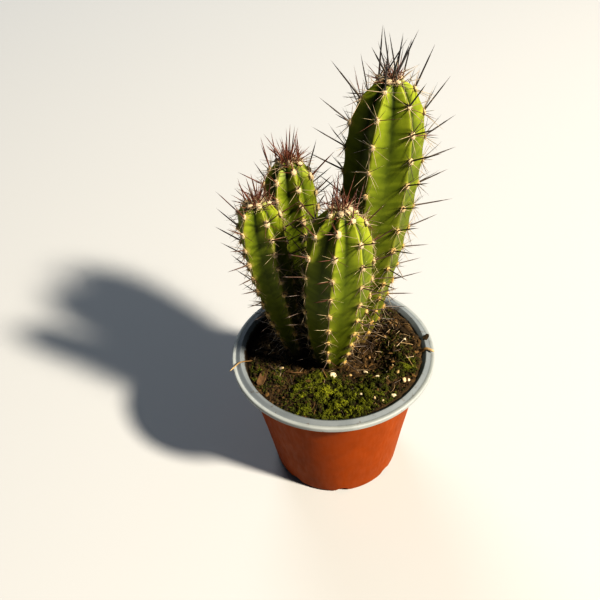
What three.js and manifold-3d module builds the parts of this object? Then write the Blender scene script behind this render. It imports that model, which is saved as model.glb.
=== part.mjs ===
// A potted toothpick cactus: four ribbed, spiny stems standing in a filled plastic nursery pot.
// Millimetres and degrees, +Z up. The origin is the centre of the pot's underside, and -Y is the front.
import * as THREE from "three";
import { mergeVertices } from "three/addons/utils/BufferGeometryUtils.js";
import Module from "manifold-3d";

const wasm = await Module();
wasm.setup();

// The pot: a thin formed cup with a flat lip, a rolled edge and drain notches round its foot
const POT_HEIGHT = 89;
const RIM_RADIUS = 60;
const LIP_WIDTH = 5.1;
const LIP_FALL = 1.5;
const LIP_THICKNESS = 1;
const EDGE_ROLL = 2.6;
const EDGE_WIDTH = 1.4;
const THROAT_DROP = 2.4;
const WALL_TOP_RADIUS = 53.8;
const FOOT_RADIUS = 39.5;
const FOOT_CORNER = 3;
const WALL = 1;
const SIDES = 36;
const NOTCHES = 8;
const NOTCH_TURN = 46.5;
const NOTCH_WIDTH = 9;
const NOTCH_HEIGHT = 4.5;
const NOTCH_DEPTH = 3;

// The potting mix: how far it stands below the rim, and the free gap to what it touches
const FILL_DROP = 8;
const SOIL_LEVEL = POT_HEIGHT - FILL_DROP;
const GAP = 0.3;
const WALL_GAP = 0.45;
const SOIL_EDGE_DROP = 2;
const SOIL_RINGS = 5;
const MOUND = 1.2;
const MOSS_CUSHION = { at: [4, -30], reach: [34, 15], height: 2.2 };
const LUMP = { height: 0.5, wave: [17, 20], shift: [1.3, 0.6] };
const GRAIN_RADIUS = 1.5;
const GRAIN_SHOWING = 0.35;
// Pale grains on the mix: across, towards the back, and size against GRAIN_RADIUS
const GRAINS = [
  [-0.9, -15.5, 1.6], [24.5, -18.3, 1.2], [9, -15, 0.9], [17.8, -13.7, 0.9], [30.1, -14.1, 0.8],
  [36, -13.9, 0.9], [38.7, -20.9, 1.1], [43.9, -22.6, 0.8], [33, -34.1, 0.9], [13.5, -31.2, 0.9],
  [24.9, -35.2, 0.9], [-31, -6, 0.9], [-38, 14, 0.8], [-8, 42, 1.1], [30, 38, 1], [44, 12, 0.9],
];

// Stems: how each one's peg goes into the mix, and how finely its skin is divided
const PEG_DEPTH = 15;
const PEG_TAPER = 0.35;
const ROWS = 18;
const SECTORS = 2;
const ROW_CROWDING = 1.6;
// How far a valley lies below the flat face from crest to crest, as a share of it: at the foot, at the
// crown, and how late the valleys deepen on the way up
const FOOT_HOLLOW = 0.01;
const CROWN_HOLLOW = 0.25;
const HOLLOW_CROWDING = 2.5;
const LAST_ROW = 0.997;
const SOCKET_MOUTH = 0.05;
const CREST_STEPS = 160;
const AGED_FROM = 0.4;

// Spines: three-sided needles, thickest at the areole that they stand in. Where there are two numbers for
// the rise, they hold at the foot and at the crown.
const ROOT_SUNK = 1.6;
const ROOT_SHARE = 0.6;
const SPINE_RADIUS = 0.65;
const SIDE_SPINE_RADIUS = 0.45;
const SIDE_SPINE_SHARE = 0.25;
const SIDE_SPINE_LENGTH = 0.55;
const SIDE_SPINE_SWING = [50, 70];
const SIDE_SPINE_DROOP = 10;
const LENGTH_SPREAD = [0.85, 1.15];
const SPINE_SIDES = 3;
const SPINE_RISE = [15, 35];
const SPINE_SCATTER = 13;
const CROWN_SPREAD = 38;
const CROWN_LENGTH = 0.9;
const CROWN_RING = 1.8;
const CROWN_SUNK = 0.4;
const CLEARANCE = 1.1;
const SHORTER = [1, 0.75, 0.5];
const BENDS = [0, 25, 50, 75];
const TESTED_ALONG = [0.2, 0.4, 0.6, 0.8, 1];
const AXIS_STEP = 0.04;
const LOWEST_AREOLE = SOIL_LEVEL + 4.5;

// Each stem: rib count, where it leaves the mix, where its crown is, how far its middle bows, and its
// crest radius with the profile from foot to crown. turn is the first rib's bearing from the front, and
// twist is what it gains by the crown. gap is the areole spacing at the crown and at the foot, and
// firstAreole is how far each rib's first areole lies below the crown.
const STEMS = [
  {
    name: "stem_tall", ribs: 6, base: [16.4, 19.9], crown: [36.1, 36.1, POT_HEIGHT + 149.3],
    bow: [5.9, 12.9], radius: 20.7, footShare: 0.46, shoulder: 0.7, blunt: 2.66, turn: -34, twist: 6.2,
    gap: [14, 7.8], firstAreole: [10, 4.1, 14.2, 7, 11, 5.2], spine: [25, 15], crownSpines: 7, seed: 11,
  },
  {
    name: "stem_front", ribs: 7, base: [-0.7, -0.2], crown: [6.2, -15, POT_HEIGHT + 108.1],
    bow: [-1.9, -5], radius: 18.1, footShare: 0.5, shoulder: 0.58, blunt: 3, turn: -16, twist: 2.4,
    gap: [12.8, 10.4], firstAreole: [13.6, 7.8, 15, 4, 10.5, 6, 7], spine: [18, 12], crownSpines: 5, seed: 23,
  },
  {
    name: "stem_left", ribs: 5, base: [-21.5, 7.6], crown: [-36.1, 2.6, POT_HEIGHT + 104.2],
    bow: [-6, 2.6], radius: 12.2, footShare: 0.34, shoulder: 0.73, blunt: 3.9, turn: 37.5, twist: -10.1,
    gap: [9.8, 7], firstAreole: [3.4, 7.1, 5, 5.6, 9.9], spine: [17, 10], crownSpines: 5, seed: 37,
  },
  {
    name: "stem_back", ribs: 7, base: [-16.8, 24.1], crown: [-18.7, 39.9, POT_HEIGHT + 105.1],
    bow: [-0.1, 4.1], radius: 14.85, footShare: 0.5, shoulder: 0.66, blunt: 4.57, turn: -11.4, twist: -22.9,
    gap: [9.5, 9.6], firstAreole: [6, 9.7, 6.7, 8, 5.5, 9, 10.9], spine: [19, 11], crownSpines: 6, seed: 53,
  },
];

const COLOURS = {
  pot: { color: 0xcb5420, roughness: 0.45 },
  soil: { color: 0x2b2117, roughness: 0.95 },
  stem: { color: 0x6f9a22, roughness: 0.5 },
};

const radians = THREE.MathUtils.degToRad;

// Repeatable random numbers from 0 to 1
function randomFrom(seed) {
  let state = seed;
  return () => {
    state = (state + 0x6d2b79f5) | 0;
    let mixed = Math.imul(state ^ (state >>> 15), 1 | state);
    mixed = (mixed + Math.imul(mixed ^ (mixed >>> 7), 61 | mixed)) ^ mixed;
    return ((mixed ^ (mixed >>> 14)) >>> 0) / 4294967296;
  };
}

// A closed geometry as a solid that can be joined and cut
function solidOf(geometry) {
  const bare = geometry.clone();
  bare.deleteAttribute("normal");
  bare.deleteAttribute("uv");
  const merged = mergeVertices(bare, 1e-4);
  const corners = merged.index.array;
  const kept = [];
  for (let i = 0; i < corners.length; i += 3) {
    const [a, b, c] = corners.subarray(i, i + 3);
    if (a !== b && b !== c && c !== a) kept.push(a, b, c);
  }
  const vertProperties = new Float32Array(merged.attributes.position.array);
  return new wasm.Manifold(new wasm.Mesh({ numProp: 3, vertProperties, triVerts: new Uint32Array(kept) }));
}

// The named mesh of a solid
function meshOf(name, solid, look) {
  const { vertProperties, triVerts } = solid.getMesh();
  const geometry = new THREE.BufferGeometry();
  geometry.setAttribute("position", new THREE.BufferAttribute(vertProperties, 3));
  geometry.setIndex(new THREE.BufferAttribute(triVerts, 1));
  geometry.computeVertexNormals();
  const mesh = new THREE.Mesh(geometry, new THREE.MeshStandardMaterial({ ...look, metalness: 0 }));
  mesh.name = name;
  return mesh;
}

// A turned shape about Z, from [radius, height] pairs that run anticlockwise when seen in section
function turned(profile, sides) {
  const points = profile.map(([radius, height]) => new THREE.Vector2(radius, height));
  return new THREE.LatheGeometry(points, sides).rotateX(Math.PI / 2);
}

// The pot

// Outside radius of the pot's wall at a height
function wallRadius(height) {
  return THREE.MathUtils.mapLinear(height, FOOT_CORNER, POT_HEIGHT, FOOT_RADIUS, WALL_TOP_RADIUS);
}

function makePot() {
  const edgeTop = POT_HEIGHT - LIP_FALL;
  const underLip = edgeTop - LIP_THICKNESS;
  const lipInside = RIM_RADIUS - LIP_WIDTH;
  const edgeInside = RIM_RADIUS - EDGE_WIDTH;
  const edgeFoot = edgeTop - EDGE_ROLL;
  const throat = POT_HEIGHT - THROAT_DROP;
  const profile = [
    [0, 0],
    [FOOT_RADIUS - FOOT_CORNER, 0],
    [FOOT_RADIUS - FOOT_CORNER * 0.3, FOOT_CORNER * 0.3],
    [FOOT_RADIUS, FOOT_CORNER],
    [wallRadius(underLip - WALL), underLip - WALL],
    [lipInside + WALL, underLip],
    [edgeInside, underLip],
    [edgeInside, edgeFoot],
    [RIM_RADIUS - EDGE_WIDTH * 0.2, edgeFoot],
    [RIM_RADIUS, edgeTop - EDGE_WIDTH * 0.5],
    [RIM_RADIUS - EDGE_WIDTH * 0.5, edgeTop],
    [lipInside, POT_HEIGHT],
    [wallRadius(throat) - WALL, throat],
    [FOOT_RADIUS - WALL, FOOT_CORNER],
    [FOOT_RADIUS - FOOT_CORNER, WALL],
    [0, WALL],
  ];
  let pot = solidOf(turned(profile, SIDES));
  for (let i = 0; i < NOTCHES; i++) {
    const notch = new THREE.CylinderGeometry(NOTCH_WIDTH / 2, NOTCH_WIDTH / 2, NOTCH_DEPTH * 2, 10);
    notch.scale(1, 1, NOTCH_HEIGHT / (NOTCH_WIDTH / 2));
    notch.translate(0, -FOOT_RADIUS, 0);
    notch.rotateZ(radians(NOTCH_TURN + (360 * i) / NOTCHES));
    pot = pot.subtract(solidOf(notch));
  }
  return meshOf("pot", pot, COLOURS.pot);
}

// The stems

class Stem {
  constructor(spec) {
    Object.assign(this, spec);
    const foot = new THREE.Vector3(...spec.base, SOIL_LEVEL);
    const crown = new THREE.Vector3(...spec.crown);
    const middle = foot.clone().add(crown).multiplyScalar(0.5);
    middle.add(new THREE.Vector3(...spec.bow, 0));
    this.axis = new THREE.QuadraticBezierCurve3(foot, middle, crown);
    this.random = randomFrom(spec.seed);
    this.needles = [];
  }

  // The axis and its cross directions at t: 0 at the mix, 1 at the crown, -1 at the peg's end
  frame(t) {
    const up = this.axis.getTangent(Math.max(t, 0));
    const centre = this.axis.getPoint(Math.max(t, 0)).addScaledVector(up, Math.min(t, 0) * PEG_DEPTH);
    const across = new THREE.Vector3(0, 1, 0).cross(up).normalize();
    const away = up.clone().cross(across);
    return { centre, up, across, away };
  }

  // Radius of the rib crests at t
  crest(t) {
    if (t < 0) return this.radius * this.footShare * (1 + PEG_TAPER * t);
    if (t < this.shoulder) {
      const swell = Math.sin((t / this.shoulder) * (Math.PI / 2));
      return this.radius * (this.footShare + (1 - this.footShare) * swell);
    }
    const over = (t - this.shoulder) / (1 - this.shoulder);
    return this.radius * Math.sqrt(Math.max(0, 1 - over ** this.blunt));
  }

  // How far out the skin is against the crests: each flank runs straight from its crest to its valley
  flank(t, angle) {
    const sector = Math.PI / this.ribs;
    const hollow = THREE.MathUtils.lerp(FOOT_HOLLOW, CROWN_HOLLOW, Math.max(t, 0) ** HOLLOW_CROWDING);
    const valley = Math.cos(sector) * (1 - hollow);
    const ribs = (angle * this.ribs) / 360;
    const aside = 2 * Math.abs(ribs - Math.round(ribs)) * sector;
    return (valley * Math.sin(sector)) / (Math.sin(aside) + valley * Math.sin(sector - aside));
  }

  // A point of the skin, angle degrees round from the first rib, pushed out by grow
  surface(t, angle, grow = 0) {
    const { centre, across, away } = this.frame(t);
    const radius = this.crest(t) * this.flank(t, angle) + grow;
    const bearing = radians(this.turn + this.twist * Math.max(t, 0) + angle);
    return centre
      .addScaledVector(across, Math.sin(bearing) * radius)
      .addScaledVector(away, -Math.cos(bearing) * radius);
  }

  // A lathe of the given rows, bent along the axis and ribbed
  skin(rows, sides, grow = 0) {
    const profile = rows.map((t) => new THREE.Vector2(1, t));
    profile.unshift(new THREE.Vector2(0, rows[0]));
    profile.push(new THREE.Vector2(0, rows.at(-1)));
    const geometry = new THREE.LatheGeometry(profile, sides);
    const position = geometry.attributes.position;
    for (let i = 0; i < position.count; i++) {
      const { x: radius, y: t } = profile[i % profile.length];
      const side = Math.floor(i / profile.length) % sides;
      const point = radius === 0 ? this.frame(t).centre : this.surface(t, (360 * side) / sides, grow);
      position.setXYZ(i, point.x, point.y, point.z);
    }
    return geometry;
  }

  body() {
    const rows = [-1];
    for (let i = 0; i < ROWS; i++) rows.push(1 - (1 - i / ROWS) ** ROW_CROWDING);
    return solidOf(this.skin(rows.concat(LAST_ROW), this.ribs * SECTORS));
  }

  // The plain hole that the peg stands in
  socket() {
    const rows = [-1 - GAP / PEG_DEPTH, 0, SOCKET_MOUTH];
    return solidOf(this.skin(rows, this.ribs * SECTORS, GAP));
  }

  // Where the areoles sit, with the directions out of the skin, up the rib and round the stem
  areoles() {
    const found = [];
    for (let rib = 0; rib < this.ribs; rib++) {
      const angle = (360 * rib) / this.ribs;
      const down = [...Array(CREST_STEPS + 1).keys()].map((i) => this.surface(1 - i / CREST_STEPS, angle));
      const reach = [0];
      for (let i = 1; i <= CREST_STEPS; i++) reach.push(reach[i - 1] + down[i].distanceTo(down[i - 1]));
      const whole = reach[CREST_STEPS];
      let next = this.firstAreole[rib];
      while (next < whole) {
        const below = reach.findIndex((distance) => distance >= next);
        const within = (next - reach[below - 1]) / (reach[below] - reach[below - 1]);
        const t = 1 - (below - 1 + within) / CREST_STEPS;
        const point = this.surface(t, angle);
        const up = this.surface(Math.min(t + 0.01, 1), angle).sub(this.surface(t - 0.01, angle)).normalize();
        const round = this.surface(t, angle + 1).sub(this.surface(t, angle - 1)).normalize();
        const out = round.clone().cross(up).normalize();
        if (point.z > LOWEST_AREOLE) found.push({ t, point, out, up, round });
        const aged = THREE.MathUtils.smoothstep(next / whole, AGED_FROM, 1);
        next += THREE.MathUtils.lerp(this.gap[0], this.gap[1], aged);
      }
    }
    return found;
  }
}

const stems = STEMS.map((spec) => new Stem(spec));

// Whether a spine from one point to another stays clear of the pot, the mix and the other stems
function isClear(owner, from, to) {
  const way = new THREE.Line3(from, to);
  const point = new THREE.Vector3();
  for (const share of TESTED_ALONG) {
    way.at(share, point);
    if (point.z < SOIL_LEVEL + MOSS_CUSHION.height + CLEARANCE) return false;
    const overRim = Math.hypot(point.x, point.y) > wallRadius(SOIL_LEVEL) - WALL - CLEARANCE;
    if (overRim && point.z < POT_HEIGHT + CLEARANCE) return false;
    for (const other of stems) {
      if (other === owner) continue;
      for (let t = 0; t <= 1; t += AXIS_STEP) {
        const room = other.frame(t).centre.distanceTo(point) - other.crest(t);
        if (room < CLEARANCE) return false;
      }
    }
  }
  const others = stems.filter((other) => other !== owner).flatMap((other) => other.needles);
  return others.every((needle) => needle.distanceSqToLine3(way) > CLEARANCE ** 2);
}

// A spine along +Z that leaves the skin at the origin
function spineGeometry(length, radius) {
  return turned([[0, -ROOT_SUNK], [radius, -ROOT_SUNK * ROOT_SHARE], [0, length]], SPINE_SIDES);
}

// The first clear way for a spine: straight, then bent up the rib, then shorter
function clearSpine(stem, point, towards, up, length) {
  for (const share of SHORTER) {
    for (const bend of BENDS) {
      const axis = towards.clone().cross(up).normalize();
      const way = towards.clone().applyAxisAngle(axis, radians(bend));
      const tip = point.clone().addScaledVector(way, length * share);
      if (isClear(stem, point, tip)) return { way, tip, length: length * share };
    }
  }
  return null;
}

function addSpine(stem, solids, areole, towards, length, radius) {
  const found = clearSpine(stem, areole.point, towards, areole.up, length);
  if (!found) return;
  const spine = spineGeometry(found.length, radius);
  const turn = new THREE.Quaternion().setFromUnitVectors(new THREE.Vector3(0, 0, 1), found.way);
  spine.applyQuaternion(turn).translate(...areole.point.toArray());
  solids.push(solidOf(spine));
  stem.needles.push(new THREE.Line3(areole.point.clone(), found.tip));
}

// One long spine from every areole, with a short side spine from some, and a tuft on the crown
function spinesOf(stem) {
  const solids = [];
  const between = ([low, high]) => THREE.MathUtils.lerp(low, high, stem.random());
  const scatter = () => radians(between([-SPINE_SCATTER, SPINE_SCATTER]));
  for (const areole of stem.areoles()) {
    const { out, up, round, t } = areole;
    const rise = radians(THREE.MathUtils.lerp(...SPINE_RISE, t)) + scatter();
    const yaw = scatter();
    const towards = out.clone().applyAxisAngle(round, -rise).applyAxisAngle(up, yaw);
    const length = THREE.MathUtils.lerp(stem.spine[1], stem.spine[0], t) * between(LENGTH_SPREAD);
    addSpine(stem, solids, areole, towards, length, SPINE_RADIUS);
    const side = stem.random() < 0.5 ? -1 : 1;
    const swing = radians(side * between(SIDE_SPINE_SWING));
    if (stem.random() > SIDE_SPINE_SHARE) continue;
    const low = out.clone().applyAxisAngle(up, swing).applyAxisAngle(round, radians(SIDE_SPINE_DROOP));
    addSpine(stem, solids, areole, low, length * SIDE_SPINE_LENGTH, SIDE_SPINE_RADIUS);
  }
  const { centre, up, across, away } = stem.frame(1);
  for (let i = 0; i < stem.crownSpines; i++) {
    const bearing = radians((360 * i) / stem.crownSpines) + scatter();
    const lean = radians(CROWN_SPREAD * between([0.35, 1]));
    const aside = across.clone().multiplyScalar(Math.sin(bearing)).addScaledVector(away, -Math.cos(bearing));
    const towards = up.clone().multiplyScalar(Math.cos(lean)).addScaledVector(aside, Math.sin(lean));
    const point = centre.clone().addScaledVector(aside, CROWN_RING).addScaledVector(up, -CROWN_SUNK);
    const length = stem.spine[0] * CROWN_LENGTH * between(LENGTH_SPREAD);
    addSpine(stem, solids, { point, up }, towards, length, SPINE_RADIUS);
  }
  return solids;
}

function makeStem(stem) {
  const solid = wasm.Manifold.union([stem.body(), ...spinesOf(stem)]);
  return meshOf(stem.name, solid, COLOURS.stem);
}

// The potting mix

// Height of the mix above its level: a low mound in the middle, the moss cushion and small lumps
function soilLump(x, y) {
  const centre = MOUND * Math.max(0, 1 - Math.hypot(x, y) / WALL_TOP_RADIUS);
  const { at, reach, height } = MOSS_CUSHION;
  const away = Math.hypot((x - at[0]) / reach[0], (y - at[1]) / reach[1]);
  const moss = height * Math.max(0, 1 - away ** 2);
  const waves = LUMP.wave.map((length) => (2 * Math.PI) / length);
  const lumps = LUMP.height * Math.sin(x * waves[0] + LUMP.shift[0]) * Math.cos(y * waves[1] - LUMP.shift[1]);
  return centre + moss + lumps - MOUND;
}

function makeSoil() {
  const underside = WALL + GAP;
  const topRadius = wallRadius(SOIL_LEVEL) - WALL - WALL_GAP;
  const profile = [
    [0, underside],
    [FOOT_RADIUS - FOOT_CORNER - GAP, underside],
    [wallRadius(FOOT_CORNER) - WALL - WALL_GAP, FOOT_CORNER + GAP],
    [wallRadius(SOIL_LEVEL - SOIL_EDGE_DROP) - WALL - WALL_GAP, SOIL_LEVEL - SOIL_EDGE_DROP],
  ];
  for (let i = 0; i <= SOIL_RINGS; i++) profile.push([topRadius * (1 - i / SOIL_RINGS), SOIL_LEVEL]);
  const geometry = turned(profile, SIDES);
  const position = geometry.attributes.position;
  for (let i = 0; i < position.count; i++) {
    if (position.getZ(i) < SOIL_LEVEL - GAP) continue;
    position.setZ(i, SOIL_LEVEL + soilLump(position.getX(i), position.getY(i)));
  }
  let soil = solidOf(geometry);
  for (const [x, y, size] of GRAINS) {
    const grain = new THREE.OctahedronGeometry(GRAIN_RADIUS * size);
    const height = SOIL_LEVEL + soilLump(x, y) + GRAIN_RADIUS * size * GRAIN_SHOWING;
    grain.rotateZ(x + y).translate(x, y, height);
    soil = soil.add(solidOf(grain));
  }
  for (const stem of stems) soil = soil.subtract(stem.socket());
  return meshOf("soil", soil, COLOURS.soil);
}

const plant = new THREE.Group();
plant.add(makePot());
plant.add(makeSoil());
for (const stem of stems) plant.add(makeStem(stem));

export default plant;
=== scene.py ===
# %% [markdown]
# # A potted toothpick cactus
# Four ribbed stems stand in a thin plastic nursery pot that is filled with dark peat mix. The measured
# solids of the pot, the mix and the stems are loaded first and are never moved. Each of them is then
# replaced by a finer piece of the same form, and the fine things are added: felt, spines, moss and litter.
# All sizes below are in millimetres, and `MM` turns them into Blender's metres.

# %% Load the measured frame
import math

import bmesh
import bpy
import numpy as np
from mathutils import Matrix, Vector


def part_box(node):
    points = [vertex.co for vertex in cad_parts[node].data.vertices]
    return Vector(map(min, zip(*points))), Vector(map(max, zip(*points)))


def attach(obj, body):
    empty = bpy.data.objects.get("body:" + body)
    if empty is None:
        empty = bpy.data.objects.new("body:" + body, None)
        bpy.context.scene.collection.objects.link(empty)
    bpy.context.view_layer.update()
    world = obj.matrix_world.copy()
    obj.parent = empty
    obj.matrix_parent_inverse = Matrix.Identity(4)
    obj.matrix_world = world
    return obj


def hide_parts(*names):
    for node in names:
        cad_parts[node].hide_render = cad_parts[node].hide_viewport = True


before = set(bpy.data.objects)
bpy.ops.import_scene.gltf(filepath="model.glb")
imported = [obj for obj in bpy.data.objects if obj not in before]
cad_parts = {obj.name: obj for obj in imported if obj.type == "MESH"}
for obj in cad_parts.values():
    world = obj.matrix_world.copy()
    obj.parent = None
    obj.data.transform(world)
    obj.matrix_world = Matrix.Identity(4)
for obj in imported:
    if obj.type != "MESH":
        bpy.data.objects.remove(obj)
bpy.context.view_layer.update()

MM = 0.001

# %% [markdown]
# ## Sizes read from the frame
# The pot's height and its rim are not typed in again. They are read from the box of the measured solid,
# so the fine pieces follow if the measured solids ever come with other sizes. The other sizes here are
# the same driving values that shaped the solids.

# %% Pot and mix sizes
_, pot_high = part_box("pot")
POT_HEIGHT = pot_high[2] / MM
RIM_RADIUS = pot_high[0] / MM
FILL_DROP = 8
SOIL_LEVEL = POT_HEIGHT - FILL_DROP
WALL = 1
WALL_GAP = 0.45
FOOT_RADIUS = 39.5
FOOT_CORNER = 3
WALL_TOP_RADIUS = RIM_RADIUS - 6.2
print("pot height", round(POT_HEIGHT, 2), "rim radius", round(RIM_RADIUS, 2))
print("mix level", round(SOIL_LEVEL, 2))


def wall_radius(height):
    """Outside radius of the pot's wall at a height."""
    share = (height - FOOT_CORNER) / (POT_HEIGHT - FOOT_CORNER)
    return FOOT_RADIUS + (WALL_TOP_RADIUS - FOOT_RADIUS) * share


# %% [markdown]
# ## Camera
# The photograph looks down on the pot at about 41 degrees from close by, so near things are clearly
# larger than far ones. A camera was fitted to the rim's ellipse: its distance, height, lens and a
# slight roll are set here as plain numbers, and there is no lens shift and no depth of field.

# %% Camera at the photograph's viewing angle
CAMERA_DISTANCE = 400
CAMERA_ELEVATION = 41.01
CAMERA_ROLL = 4.11
CAMERA_TARGET = (-17.2, 0, POT_HEIGHT + 39.5)
FOCAL_PIXELS = 717.9
FRAME_PIXELS = 600
SENSOR = 36


def place_camera():
    """A camera that looks along +Y and down, rolled a little about its own line of sight."""
    data = bpy.data.cameras.new("camera")
    data.sensor_width = SENSOR
    data.lens = SENSOR * FOCAL_PIXELS / FRAME_PIXELS
    data.clip_start = 0.01
    camera = bpy.data.objects.new("camera", data)
    bpy.context.collection.objects.link(camera)
    elevation, roll = math.radians(CAMERA_ELEVATION), math.radians(CAMERA_ROLL)
    ahead = np.array([0, math.cos(elevation), -math.sin(elevation)])
    right = np.array([1.0, 0, 0])
    up = np.cross(right, ahead)
    across = right * math.cos(roll) - up * math.sin(roll)
    above = right * math.sin(roll) + up * math.cos(roll)
    place = (np.array(CAMERA_TARGET) - ahead * CAMERA_DISTANCE) * MM
    turn = Matrix([(*row, 0) for row in np.column_stack([across, above, -ahead])] + [(0, 0, 0, 1)])
    camera.matrix_world = Matrix.Translation(place) @ turn
    bpy.context.scene.camera = camera
    return camera


camera = place_camera()
camera_place = [round(x, 3) for x in camera.matrix_world.translation]
print("camera at", camera_place, "lens", round(camera.data.lens, 1))

# %% [markdown]
# ## Floor and light
# The floor is one pale sheet. The light in the photograph comes from the right front, about 40 degrees
# up: the shadow of the stems ends halfway round the left of the lip, and one flank of each rib is bright
# while the other is dark. One warm soft box does that here, a large weak one behind the plant keeps its
# back readable, and a faint blue sky fills the shadows. Where the floor ends, a low view shows a pale
# backdrop, against which dark spines can be read. The display keeps plain colours with more contrast,
# because film-like ones wash out the yellow-green skin.

# %% Floor, soft boxes and sky
SOFT_BOXES = {
    "key": dict(bearing=57, elevation=40, distance=4, size=0.43, power=380, colour=(1.0, 0.92, 0.78)),
    "back": dict(bearing=195, elevation=38, distance=3.2, size=1.6, power=36, colour=(0.9, 0.95, 1.0)),
}
SKY_COLOUR = (0.6, 0.78, 1.0)
SKY_STRENGTH = 0.1
BACKDROP_COLOUR = (0.56, 0.56, 0.55)
FLOOR_COLOUR = (0.4, 0.4, 0.4)
FLOOR_ROUGHNESS = 0.9
FLOOR_RADIUS = 1.7
FLOOR_SIDES = 96


def soft_box(name, bearing, elevation, distance, size, power, colour):
    """An area light that looks at the middle of the plant. A bearing of 0 is the front, 90 the right."""
    data = bpy.data.lights.new(name, "AREA")
    data.shape = "DISK"
    data.size = size
    data.energy = power
    data.color = colour
    light = bpy.data.objects.new(name, data)
    bpy.context.collection.objects.link(light)
    level = distance * math.cos(math.radians(elevation))
    middle = np.array([0, 0, POT_HEIGHT * MM])
    away = np.array([
        level * math.sin(math.radians(bearing)),
        -level * math.cos(math.radians(bearing)),
        distance * math.sin(math.radians(elevation)),
    ])
    light.location = middle + away
    back = away / np.linalg.norm(away)
    side = np.cross([0, 0, 1], back)
    side /= np.linalg.norm(side)
    turn = np.column_stack([side, np.cross(back, side), back])
    light.rotation_euler = Matrix(turn.tolist()).to_euler()


def pale_floor():
    """A round sheet, small enough that the light reaches all of it."""
    mesh = bpy.data.meshes.new("floor")
    turns = [2 * math.pi * i / FLOOR_SIDES for i in range(FLOOR_SIDES)]
    corners = [(FLOOR_RADIUS * math.cos(turn), FLOOR_RADIUS * math.sin(turn), 0) for turn in turns]
    mesh.from_pydata(corners, [], [tuple(range(FLOOR_SIDES))])
    floor = bpy.data.objects.new("floor", mesh)
    bpy.context.collection.objects.link(floor)
    material = bpy.data.materials.new("floor_paper")
    material.use_nodes = True
    shader = material.node_tree.nodes["Principled BSDF"]
    shader.inputs["Base Color"].default_value = (*FLOOR_COLOUR, 1)
    shader.inputs["Roughness"].default_value = FLOOR_ROUGHNESS
    mesh.materials.append(material)


def studio_sky():
    """A world that lights with a faint blue sky, and shows a pale grey backdrop beyond the floor."""
    world = bpy.data.worlds.new("sky")
    world.use_nodes = True
    tree = world.node_tree
    sky = tree.nodes["Background"]
    sky.inputs["Color"].default_value = (*SKY_COLOUR, 1)
    sky.inputs["Strength"].default_value = SKY_STRENGTH
    backdrop = tree.nodes.new("ShaderNodeBackground")
    backdrop.inputs["Color"].default_value = (*BACKDROP_COLOUR, 1)
    seen = tree.nodes.new("ShaderNodeLightPath").outputs["Is Camera Ray"]
    both = tree.nodes.new("ShaderNodeMixShader")
    for place, socket in enumerate((seen, sky.outputs[0], backdrop.outputs[0])):
        tree.links.new(socket, both.inputs[place])
    tree.links.new(both.outputs[0], tree.nodes["World Output"].inputs["Surface"])
    return world


for name, facts in SOFT_BOXES.items():
    soft_box(name, **facts)
pale_floor()
bpy.context.scene.world = studio_sky()
bpy.context.scene.view_settings.view_transform = "Standard"
bpy.context.scene.view_settings.look = "High Contrast"
print("lights", list(SOFT_BOXES), "sky", SKY_STRENGTH)

# %% [markdown]
# ## Small tools for finishes
# A finish here is a short chain of nodes. Small helpers keep the chains readable: they add a node and
# join its inputs, turn a number into a colour by a ramp, and mix or multiply colours. Numbers that are
# the same all over a surface are set on the shader itself.

# %% Node helpers


def add(tree, kind, inputs=None, **settings):
    """A new node of a tree. An input is joined if it is given a socket, and set if it is given a value."""
    made = tree.nodes.new("ShaderNode" + kind)
    for key, value in settings.items():
        setattr(made, key, value)
    for key, value in (inputs or {}).items():
        if isinstance(value, bpy.types.NodeSocket):
            tree.links.new(value, made.inputs[key])
        else:
            made.inputs[key].default_value = value
    return made


def ramp(tree, factor, stops):
    """The colour of a factor, from (position, (r, g, b)) stops."""
    made = add(tree, "ValToRGB", {"Fac": factor})
    elements = made.color_ramp.elements
    for position, _ in stops[2:]:
        elements.new(position)
    for element, (position, colour) in zip(elements, sorted(stops)):
        element.position = position
        element.color = (*colour, 1)
    return made.outputs["Color"]


def levels(*stops):
    """Ramp stops from (position, grey level) pairs."""
    return [(position, (level,) * 3) for position, level in stops]


def grey(low, high):
    """Two ramp stops that turn a factor's stretch from low to high into 0 to 1."""
    return levels((low, 0), (high, 1))


def mixed(tree, factor, first, second, blend="MIX"):
    """Two colours mixed by a factor, each a socket or (r, g, b)."""
    made = tree.nodes.new("ShaderNodeMix")
    made.data_type = "RGBA"
    made.blend_type = blend
    for index, value in ((0, factor), (6, first), (7, second)):
        if isinstance(value, bpy.types.NodeSocket):
            tree.links.new(value, made.inputs[index])
        elif index == 0:
            made.inputs[0].default_value = value
        else:
            made.inputs[index].default_value = (*value, 1)
    return made.outputs[2]


def times(tree, colour, other):
    """A colour multiplied by another."""
    return mixed(tree, 1.0, colour, other, "MULTIPLY")


def noise(tree, size, detail=3, distortion=0.0, stretch=None):
    """Noise in the object's own space, with lumps of about size millimetres."""
    place = tree.nodes.new("ShaderNodeTexCoord").outputs["Object"]
    if stretch:
        place = add(tree, "Mapping", {"Vector": place, "Scale": stretch}).outputs["Vector"]
    inputs = {"Vector": place, "Scale": 1 / (size * MM), "Detail": detail, "Distortion": distortion}
    return add(tree, "TexNoise", inputs).outputs["Fac"]


def mark(tree, name):
    """A number that the mesh carries at each of its points."""
    return add(tree, "Attribute", attribute_name=name).outputs["Fac"]


def bump(tree, height, depth, strength=1.0):
    """A normal that is tilted as if a height from 0 to 1 were depth millimetres deep."""
    inputs = {"Height": height, "Distance": depth * MM, "Strength": strength}
    return add(tree, "Bump", inputs).outputs["Normal"]


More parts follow.
